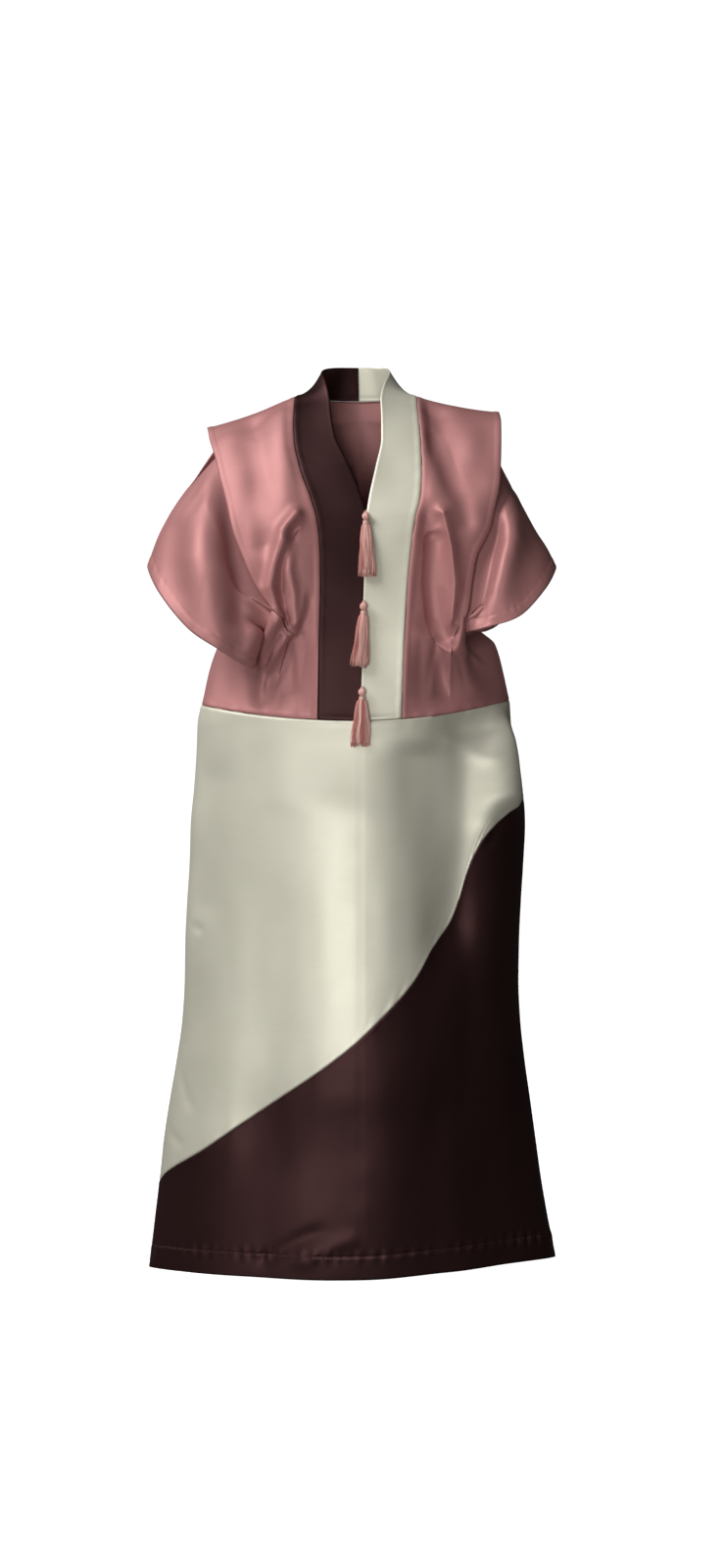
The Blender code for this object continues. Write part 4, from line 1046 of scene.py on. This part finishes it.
def front_cloth(side, creases, seed):
    """Front bodice with its folds, seams and turned flange edge."""
    near = grid(0.0, 1.0, FRONT_ACROSS, BODICE_SPACING)
    far = np.concatenate([near, 1.0 + near[1:]])

    def place_of(level, s):
        return front_point(side, s, level)

    upper = block(place_of, grid(0.0, PINCH, FRONT_DOWN, BODICE_SPACING), near)
    lower = block(place_of, grid(PINCH, WAIST, FRONT_LOW_DOWN, BODICE_SPACING), far)
    lower["down"] = lower["down"] + np.interp(lower["column"], near, upper["down"][-1])
    roll = np.exp(-(((lower["column"] - 1.18) / 0.13) ** 2)) * smooth((lower["column"] - 1) / 0.1)
    roll = roll * np.exp(-(((lower["row"] - PINCH) / 0.3) ** 2))
    lower["place"] += roll[..., None] * place(side.sign * 11, -25, 35)
    hollow = np.sin(np.pi * np.clip(lower["row"] - PINCH, 0, 1)) * smooth((2 - lower["column"]) / 0.5)
    lower["place"][..., 1] += LOW_HOLLOW * hollow * smooth(lower["column"] / 0.4)
    cloth = Cloth(upper, lower)
    x, _, z = cloth.points.T
    s = cloth.marks["column"]
    level = cloth.marks["row"]
    upper_part = level <= PINCH
    hold = smooth(s / 0.15) * smooth(level / 1.2) * smooth((WAIST - level) / 0.25)
    height = fold_height(x, z, creases, 0.35) * hold * smooth((2 - s) / 0.3)
    height += 0.7 * ripple(x, z, 70, 160, seed) * hold
    band_seam = seam_point(side, np.linspace(0, WAIST, 90))
    band_away = np.abs(x - np.interp(-z, -band_seam[:, 2], band_seam[:, 0]))
    height += groove(band_away, 0.5, 1.2, 0.5)
    height += puckers(-z, band_away, 34, 0.25, 9, seed + 1)
    edge_away = np.where(upper_part & (s <= 1), cloth.marks["to_right"], FAR_OFF)
    height += turned_edge(edge_away, *FLANGE_HEM) * smooth((PINCH - level) / 0.6)
    waist_away = np.where(level >= PINCH, cloth.marks["to_bottom"], FAR_OFF)
    height += groove(np.where(level > PINCH + 0.5, waist_away, FAR_OFF))
    height += puckers(x, waist_away, 24, 0.5, 10, seed + 2) * smooth((level - PINCH) / 0.3)
    side_away = np.where(s > 1.5, cloth.marks["to_right"], FAR_OFF)
    height += groove(side_away) * smooth((level - PINCH) / 0.1)
    cloth.push(height)
    return cloth


panel("satin_front_right", "bodice_front_right", "rose_satin",
      front_cloth(RIGHT, CREASES_RIGHT, 21), (0.26, 0.56), 0.088, "hung")
panel("satin_front_left", "bodice_front_left", "rose_satin",
      front_cloth(LEFT, CREASES_LEFT, 31), (0.26, 0.56), 0.086, "hung")

# %% [markdown]
# The back is one wide panel with the back halves of both flanges.  It hangs from the
# shoulder ridges, which it shares with the fronts, and is gathered lightly towards
# the waist on each side.

# %% Back bodice
BACK_SPACING = 3.2
BACK_ACROSS = 230.0
BACK_LOW_ACROSS = 110.0
BACK_DOWN = 400.0
BACK_LOW_DOWN = 120.0
CREASES_BACK = (
    (((-60, -60), (-40, -200), (-30, -330)), 26, 2.2),
    (((60, -60), (46, -200), (34, -330)), 26, 2.2),
    (((-118, -392), (-90, -340), (-74, -280)), 9, 2.0),
    (((140, -398), (104, -340), (84, -270)), 9, 2.0),
    (((-118, -396), (-96, -440), (-84, -495)), 8, 2.2),
    (((142, -400), (112, -440), (96, -495)), 8, 2.2),
    (((-122, -394), (-160, -430), (-200, -470)), 8, -2.0),
    (((146, -402), (180, -440), (214, -470)), 8, -2.0),
)


def back_cloth():
    """Back bodice in one piece."""
    near = grid(0.0, 1.0, BACK_ACROSS, BACK_SPACING)
    near = np.unique(np.concatenate([near, [NECK_SHARE]]))
    far = np.concatenate([near, 1.0 + grid(0.0, 1.0, BACK_LOW_ACROSS, BACK_SPACING)[1:]])
    blocks = []
    for side in (RIGHT, LEFT):
        turn = 1 if side is LEFT else -1

        def place_of(level, s, side=side):
            return back_point(side, s, level)

        upper = block(place_of, grid(0.0, PINCH, BACK_DOWN, BACK_SPACING), near[::turn])
        lower = block(place_of, grid(PINCH, WAIST, BACK_LOW_DOWN, BACK_SPACING), far[::turn])
        for part in (upper, lower):
            if side is RIGHT:
                part["to_left"], part["to_right"] = part["to_right"], part["to_left"]
                part["across"] = -part["to_left"]
        lower["down"] = lower["down"] + BACK_DOWN
        blocks += [upper, lower]
    cloth = Cloth(*blocks)
    x, _, z = cloth.points.T
    s = cloth.marks["column"]
    level = cloth.marks["row"]
    hold = smooth(level / 1.2) * smooth((WAIST - level) / 0.25) * smooth((2 - s) / 0.3)
    height = fold_height(x, z, CREASES_BACK, 0.35) * hold + 0.9 * ripple(x, z, 90, 260, 41) * hold
    edge_away = np.where((level <= PINCH) & (s <= 1), cloth.marks["to_right"], FAR_OFF)
    height += turned_edge(edge_away, *FLANGE_HEM) * smooth((PINCH - level) / 0.6)
    height += groove(np.where(level > PINCH + 0.5, cloth.marks["to_bottom"], FAR_OFF))
    height += groove(np.where(s > 1.5, cloth.marks["to_right"], FAR_OFF)) * smooth((level - PINCH) / 0.1)
    neck_away = np.where((level < 1) & (s < NECK_SHARE), cloth.marks["to_top"], FAR_OFF)
    height += groove(neck_away)
    cloth.push(height)
    return cloth


panel("satin_back", "bodice_back", "rose_satin", back_cloth(), (0.54, 0.54), 0.235, "hung")

# %% [markdown]
# A sleeve of stiff satin holds itself out in a few large rounded folds.  The gathers
# at its head start under the flange and fade on the way to the hem.

# %% Sleeves
SLEEVE_SPACING = 2.6
SLEEVE_SPACING_ROUND = 4.2
SLEEVE_SPACING_HIDDEN = 5.0
SLEEVE_ROUND = 560.0
SLEEVE_DOWN = 190.0
SLEEVE_HIDDEN = 30.0
SLEEVE_HEM = 16.0
HEM_LIFT = 6.0
SLEEVE_FOLDS_RIGHT = (
    (((-216, -150), (-243, -285), (-222, -400)), 36, 13),
    (((-196, -210), (-184, -300), (-186, -375)), 24, -12),
    (((-172, -290), (-150, -350), (-140, -380)), 14, -7),
    (((-178, -350), (-168, -400), (-176, -440)), 12, 4),
    (((-300, -230), (-296, -330)), 26, -4),
)
SLEEVE_FOLDS_LEFT = (
    (((236, -170), (246, -247), (226, -300), (200, -385)), 20, 9),
    (((215, -215), (202, -310), (192, -375)), 20, -13),
    (((275, -250), (262, -340)), 26, -5),
)


def sleeve_cloth(side, folds, sag, sag_at, seed):
    """Sleeve as a tube with its gathers, folds and turned hem; its top sags beside the flange."""
    turns = np.append(grid(0.0, 1.0, SLEEVE_ROUND, SLEEVE_SPACING_ROUND)[:-1], 1.0)
    rows = np.concatenate([
        grid(0.0, UNDER_FLANGE, SLEEVE_HIDDEN, SLEEVE_SPACING_HIDDEN)[:-1],
        grid(UNDER_FLANGE, 1.0, SLEEVE_DOWN, SLEEVE_SPACING),
    ])

    def place_of(w, turn):
        return sleeve_point(side, turn, w)

    cloth = Cloth(block(place_of, rows, turns, 1.0))
    x, _, z = cloth.points.T
    w = cloth.marks["row"]
    turn = cloth.marks["column"]
    facing = smooth(-cloth.normals()[:, 1] / 0.45)
    behind = smooth(cloth.normals()[:, 1] / 0.45)
    out = smooth((w - UNDER_FLANGE) / 0.25)
    height = fold_height(x, z, folds) * facing * out
    height += 0.7 * fold_height(x, z, folds) * behind * out
    top = smooth((0.3 - np.minimum(turn, 1 - turn)) / 0.2)
    gathers = uneven(turn * SLEEVE_ROUND, 24, seed) * smooth((0.75 - w) / 0.6)
    height += 0.6 * gathers * top * out
    high = smooth((0.3 - np.minimum(turn, 1 - turn)) / 0.25)
    cloth.points[:, 2] -= sag * high * np.exp(-(((w - sag_at) / 0.22) ** 2))
    cloth.points[:, 2] += HEM_LIFT * high * np.exp(-(((w - 0.85) / 0.15) ** 2))
    height += 0.5 * ripple(x, z, 120, 260, seed + 1) * out
    height += turned_edge(cloth.marks["to_bottom"], SLEEVE_HEM, 0.5) * (w > 0.5)
    line = np.abs(cloth.marks["to_bottom"] - SLEEVE_HEM)
    pulled = puckers(turn * SLEEVE_ROUND, line, 15, 0.5, 6, seed + 2)
    height += (pulled - 0.4 * np.exp(-((line / 1.5) ** 2))) * (w > 0.5)
    cloth.push(height)
    return cloth


panel("satin_sleeve_right", "sleeve_right", "rose_satin",
      sleeve_cloth(RIGHT, SLEEVE_FOLDS_RIGHT, 8.0, 0.4, 51), (0.58, 0.26), 0.13, "gathered")
panel("satin_sleeve_left", "sleeve_left", "rose_satin",
      sleeve_cloth(LEFT, SLEEVE_FOLDS_LEFT, 16.0, 0.22, 61), (0.50, 0.24), 0.102, "gathered")

# %% [markdown]
# The band is doubled and stiffened, so it lies flatter than the satin beside it and
# keeps a crisp edge.  Each half of it runs from the waist up the front, over the
# shoulder and round to the centre of the back, where it stands up as the collar.

# %% Band and collar
BAND_SPACING = 3.0
BAND_WIDTH = 74.0
COLLAR_LENGTH = 130.0
BAND_FALL = 440.0
BAND_LOW_FALL = 140.0
NEAR_WAIST = 9.5
BAND_CUT = (0.09, 0.72)
BAND_AREA = 0.048


def band_cloth(side, seed):
    """Front band with its half of the collar."""
    levels = np.concatenate([
        grid(CENTRE_BACK, 0.0, COLLAR_LENGTH, BAND_SPACING)[:-1],
        grid(0.0, PINCH, BAND_FALL, BAND_SPACING)[:-1],
        grid(PINCH, WAIST, BAND_LOW_FALL, BAND_SPACING),
    ])

    def place_of(level, s):
        made = between(seam_point(side, level), inner_point(side, level), s)
        start = u_at(side.band_waist, BAND_WAIST_DROP)
        u = mix(start, u_at(CENTRE_WAIST, WAIST_CENTRE), s)
        at_waist = smooth((level - NEAR_WAIST) / (WAIST - NEAR_WAIST))
        return between(made, waist_point(u), at_waist)

    cloth = Cloth(block(place_of, levels, grid(0.0, 1.0, BAND_WIDTH, BAND_SPACING)))
    marks = cloth.marks
    _, _, z = cloth.points.T
    height = 0.5 * ripple(marks["across"], marks["down"], 120, 160, seed)
    height += groove(marks["to_left"], 0.4, 1.2, 0.5)
    height += turned_edge(marks["to_right"], 3.0, 0.5)
    height += puckers(marks["down"], marks["to_left"], 34, 0.2, 9, seed + 1)
    height += groove(np.where(marks["row"] > NEAR_WAIST, marks["to_bottom"], FAR_OFF))
    cloth.push(height)
    return cloth


panel("satin_band_right", "band_right", "aubergine_satin",
      band_cloth(RIGHT, 71), BAND_CUT, BAND_AREA, "stretched")
panel("satin_band_left", "band_left", "ivory_satin",
      band_cloth(LEFT, 81), BAND_CUT, BAND_AREA, "stretched")

# %% [markdown]
# A tassel is a hank of viscose thread hung over a loop, bound round its neck and cut
# level.  Each thread is drawn by itself, because the light and dark between threads
# is what makes a tassel look like thread and not like a brush.

# %% Thread
TASSELS = (
    ("tassel_top", 12.0, -206.0, 103.0, 29.0, 2.0),
    ("tassel_middle", 8.5, -351.0, 101.0, 29.0, -6.0),
    ("tassel_bottom", 6.0, -487.0, 91.0, 35.0, -2.0),
)
HEAD_RADIUS = 7.4
HEAD_HEIGHT = 17.0
HEAD_SEAT = 9.1
NECK_RADIUS = 4.6
THREADS = 170
THREAD_RADIUS = 0.45
LOCKS = 15
HEAD_THREADS = 40
BINDING_TURNS = 5
WOUND_RADIUS = 0.62
GOLDEN_ANGLE = 2.39996
THREAD_SEAT = 8.2


def thread_material(name, dark, pale):
    """Twisted thread: each thread has its own shade, kept in the mesh; on the tassels that shade is partly
    painted light and painted shade.
    """
    made, tree, shader = new_material(name)
    own = add(tree, "ShaderNodeAttribute", attribute_name="shade")
    ramp = add(tree, "ShaderNodeValToRGB", {"Fac": own.outputs["Fac"]})
    ramp.color_ramp.elements[0].color = linear(dark)
    ramp.color_ramp.elements[1].color = linear(pale)
    tree.links.new(ramp.outputs["Color"], shader.inputs["Base Color"])
    shader.inputs["Roughness"].default_value = 0.5
    shader.inputs["Sheen Weight"].default_value = 0.05
    shader.inputs["Sheen Tint"].default_value = linear(pale)
    return made


# The span from dark to pale is wider than the thread's own colour: the tassels use it for painted shade and
# painted highlights between their locks.
ROSE_THREAD = thread_material("rose thread", "#C66C64", "#FFDACE")


# %% Bundle of threads


class Threads:
    """A bundle of thin tubes in one mesh."""

    def __init__(self):
        self.points = []
        self.faces = []
        self.shades = []

    def add(self, path, radius, shade, sides=4):
        """One thread along a path; the radius may change along it."""
        path = np.asarray(path, float)
        run = unit(np.gradient(path, axis=0))
        side = unit(np.cross(run, np.array((0.31, 0.87, 0.38))))
        up = np.cross(run, side)
        radius = np.broadcast_to(radius, len(path))[:, None]
        start = sum(len(block) for block in self.points)
        turns = [2 * np.pi * k / sides for k in range(sides)]
        rings = np.stack([path + (side * math.cos(a) + up * math.sin(a)) * radius for a in turns], axis=1)
        self.points.append(rings.reshape(-1, 3))
        self.shades.append(np.full(len(path) * sides, shade))
        for row in range(len(path) - 1):
            for k in range(sides):
                n = (k + 1) % sides
                a = start + row * sides
                self.faces.append((a + k, a + n, a + sides + n, a + sides + k))
        last = start + (len(path) - 1) * sides
        self.faces.append(tuple(start + k for k in reversed(range(sides))))
        self.faces.append(tuple(last + k for k in range(sides)))

    def make(self, name, material):
        """The bundle as one object that rides with the robe."""
        mesh = bpy.data.meshes.new(name)
        mesh.from_pydata((np.concatenate(self.points) * MM).tolist(), [], self.faces)
        shade = mesh.attributes.new("shade", "FLOAT", "POINT")
        shade.data.foreach_set("value", np.concatenate(self.shades).astype(np.float32))
        mesh.shade_smooth()
        mesh.materials.append(material)
        piece = bpy.data.objects.new(name, mesh)
        bpy.context.scene.collection.objects.link(piece)
        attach(piece, "root")
        print(f"{name}: {len(self.faces)} faces")
        return piece


# %% [markdown]
# The threads of a tassel spread from the neck in locks that lean together.  Each lock is given a painted
# shade from dark to pale, which stands for the light and shade between the locks, and each thread gets a
# little tone of its own.  The head is wound thread with a few turns of binding below it.

# %% Tassels
FRONT_LINE = inner_point(RIGHT, np.linspace(5.0, WAIST, 200))


def cloth_front(z):
    """How far forward the cloth lies at the centre front, at one height."""
    above = np.interp(-np.asarray(z), -FRONT_LINE[:, 2], FRONT_LINE[:, 1])
    return np.where(np.asarray(z) > FRONT_LINE[-1, 2], above, skirt_point(0.0, -np.asarray(z))[..., 1])


def tassel(name, x, z, length, spread, lean):
    """Head, binding, loop and threads of one tassel."""
    chance = np.random.default_rng(len(name) + int(length))
    bundle = Threads()
    middle = np.array((x, float(cloth_front(z)) - HEAD_SEAT, z - HEAD_HEIGHT * 0.55))
    for k in range(HEAD_THREADS):
        turn = 2 * np.pi * k / HEAD_THREADS
        t = np.linspace(0, 1, 9)
        radius = 1.2 + 4.6 * np.sin(np.pi * t) ** 0.8
        height = HEAD_HEIGHT * mix(0.5, -0.28, t)
        twist = turn + 0.5 * t
        path = middle + place(radius * np.cos(twist), radius * np.sin(twist), height)
        bundle.add(path, WOUND_RADIUS, chance.uniform(0.3, 0.8))
    for row in range(BINDING_TURNS):
        turn = np.linspace(0, 2 * np.pi, 21)
        binding = place(NECK_RADIUS * np.cos(turn), NECK_RADIUS * np.sin(turn), -5.6 - 1.1 * row)
        bundle.add(middle + binding, WOUND_RADIUS, 0.85 if row % 2 else 0.65)
    turn = np.linspace(0, np.pi, 9)
    bundle.add(middle + place(2.4 * np.cos(turn), 1.5, 7.5 + 3.4 * np.sin(turn)), 0.7, 0.5)
    # Painted light and shade: each lock gets its own tone from dark to pale, standing for the light and
    # shade that fall between locks.
    lock_painted_shade = chance.permutation(LOCKS) / (LOCKS - 1)
    lock_phase = chance.uniform(0, 1, LOCKS)
    lock_length = chance.normal(0, 1.6, LOCKS)
    for k in range(THREADS):
        turn = GOLDEN_ANGLE * k
        lock = int(turn / (2 * np.pi) * LOCKS) % LOCKS
        out = math.sqrt((k + 0.5) / THREADS)
        t = np.linspace(0, 1, 12)
        drop = mix(HEAD_HEIGHT, length + lock_length[lock] + chance.normal(0, 0.8), t)
        wide = mix(NECK_RADIUS * 0.85, spread / 2 * chance.uniform(0.88, 1.04), t**0.42)
        sway = 1.7 * t * np.sin(2 * np.pi * (1.4 * t + lock_phase[lock])) + chance.normal(0, 0.3) * t
        across = x + out * math.cos(turn) * wide + lean * t + sway
        depth = mix(NECK_RADIUS * 0.85, HEAD_RADIUS * 0.72, smooth(t * 2)) * out * math.sin(turn)
        seat = mix(middle[1], cloth_front(z - drop) - THREAD_SEAT, smooth(t * 2.5))
        shade = 0.8 * lock_painted_shade[lock] + chance.uniform(0, 0.2)
        bundle.add(place(across, seat + depth, z - drop), THREAD_RADIUS * mix(1.1, 0.8, t), shade)
    piece = bundle.make("thread_" + name, ROSE_THREAD)
    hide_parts(name)


for row in TASSELS:
    tassel(*row)

# %% [markdown]
# Stitches are short tubes, thickest in the middle, laid on the cloth along a line, each
# a little higher or lower than the next.  They hold the hem, the sleeves' hems and the
# facings at the side seams.

# %% Stitches
SLEEVE_STITCH_W = 0.925
STITCH_PITCH = 4.2
STITCH_LENGTH = 2.9
STITCH_RADIUS = 0.34
STITCH_LIFT = 0.5


def stitches(name, material, cloth_name, path, shade=0.5):
    """Machine stitches along a path, pressed onto a panel."""
    cloth = CLOTHS[cloth_name]
    normals = cloth.normals()
    tree = KDTree(len(cloth.points))
    for index, point in enumerate(cloth.points):
        tree.insert(point, index)
    tree.balance()
    reach = np.concatenate([[0], np.cumsum(np.linalg.norm(np.diff(path, axis=0), axis=1))])
    places = np.arange(STITCH_PITCH, reach[-1] - STITCH_PITCH, STITCH_PITCH)
    chance = np.random.default_rng(len(name))
    bundle = Threads()
    for at in places:
        ends = []
        for step in (-0.5, 0.0, 0.5):
            where = at + step * STITCH_LENGTH
            point = np.array([np.interp(where, reach, path[:, axis]) for axis in range(3)])
            near, index, _ = tree.find(point)
            normal = normals[index]
            point = point - normal * ((point - np.array(near)) @ normal)
            lift = STITCH_LIFT * (1.0 if step == 0 else 0.6) + chance.uniform(-0.04, 0.04)
            ends.append(point + normal * lift)
        bundle.add(ends, [STITCH_RADIUS * 0.6, STITCH_RADIUS, STITCH_RADIUS * 0.6], shade)
    bundle.make(name, material)


AUBERGINE_THREAD = thread_material("aubergine thread", "#2E1B1C", "#6A4A4B")
across = np.linspace(-0.97, 0.97, 300)
for front, word in ((True, "front"), (False, "back")):
    hem_path = skirt_point(across, hem_drop(across, front) - HEM_STITCH, front)
    stitches(f"hem_stitches_{word}", AUBERGINE_THREAD,
             f"satin_skirt_{word}_aubergine", hem_path)
for word, u in (("right", -0.86), ("left", 0.9)):
    drops = np.linspace(hem_drop(u) - HEM_STITCH, hem_drop(u) - 4.0, 20)
    stitches(f"facing_stitches_{word}", AUBERGINE_THREAD,
             "satin_skirt_front_aubergine", skirt_point(u, drops))
for word, side in (("right", RIGHT), ("left", LEFT)):
    hem_path = sleeve_point(side, np.linspace(0.0, 1.0, 200), SLEEVE_STITCH_W)
    stitches(f"sleeve_stitches_{word}", ROSE_THREAD, f"satin_sleeve_{word}", hem_path, 0.2)

# %% [markdown]
# A soft studio.  Satin shows what it reflects, so the lights are shaped for it: a low
# wide light beside the camera draws the bright band down the skirt, a large one high on
# the left models the folds, and little comes from the right, which stays in shade.  The
# floor runs up into a pale wall that glows, as paper in a light box does.  The wall is
# far enough away for a camera to look at the robe from behind.

# %% Studio


def area_light(name, spot, size, power, look_at):
    """A rectangular soft light aimed at a point."""
    data = bpy.data.lights.new(name, "AREA")
    data.shape = "RECTANGLE"
    data.size, data.size_y = size
    data.energy = power
    light = bpy.data.objects.new(name, data)
    light.location = spot
    light.rotation_euler = (Vector(look_at) - Vector(spot)).to_track_quat("-Z", "Y").to_euler()
    bpy.context.scene.collection.objects.link(light)


area_light("strip", (-0.5, -3.3, -1.1), (1.5, 0.9), 42, (0, 0, -1.0))
area_light("key", (-2.45, -1.5, 2.1), (1.9, 2.2), 138, (0, 0, -0.4))
area_light("fill", (2.6, -1.8, -0.3), (1.4, 2.2), 1.5, (0, 0, -0.7))
print("lights:", len(bpy.data.lights))

# %% Floor and wall
FLOOR_Z = -1.47
FLOOR_NEAR_Y = -2.5
FLOOR_HALF = 9.0
BEND_Y = 9.0
BEND_RADIUS = 0.9
WALL_TOP = 9.0

sweep = [(FLOOR_NEAR_Y, 0.0), (BEND_Y, 0.0)]
sweep += [(BEND_Y + BEND_RADIUS * math.sin(a), BEND_RADIUS - BEND_RADIUS * math.cos(a))
          for a in np.linspace(0.1, np.pi / 2, 16)]
sweep += [(BEND_Y + BEND_RADIUS, WALL_TOP)]
stage_mesh = bpy.data.meshes.new("studio_floor")
stage_points = [(x, y, FLOOR_Z + z) for y, z in sweep for x in (-FLOOR_HALF, FLOOR_HALF)]
stage_faces = [(2 * k, 2 * k + 1, 2 * k + 3, 2 * k + 2) for k in range(len(sweep) - 1)]
stage_mesh.from_pydata(stage_points, [], stage_faces)
stage_mesh.shade_smooth()
studio = bpy.data.objects.new("studio_floor", stage_mesh)
paper, _, paper_shader = new_material("studio paper")
paper_shader.inputs["Base Color"].default_value = linear("#F4F4F2")
paper_shader.inputs["Roughness"].default_value = 0.9
paper_shader.inputs["Emission Color"].default_value = linear("#FFFFFF")
paper_shader.inputs["Emission Strength"].default_value = 1.0
studio.visible_diffuse = False
studio.visible_glossy = False
stage_mesh.materials.append(paper)
bpy.context.scene.collection.objects.link(studio)
print(f"floor at {FLOOR_Z} m, wall {BEND_Y + BEND_RADIUS:.1f} m behind the robe")

world = bpy.data.worlds.new("studio")
bpy.context.scene.world = world
world.use_nodes = True
world.node_tree.nodes["Background"].inputs["Color"].default_value = linear("#F4F2EE")
world.node_tree.nodes["Background"].inputs["Strength"].default_value = 0.06
bpy.context.scene.view_settings.view_transform = "Standard"
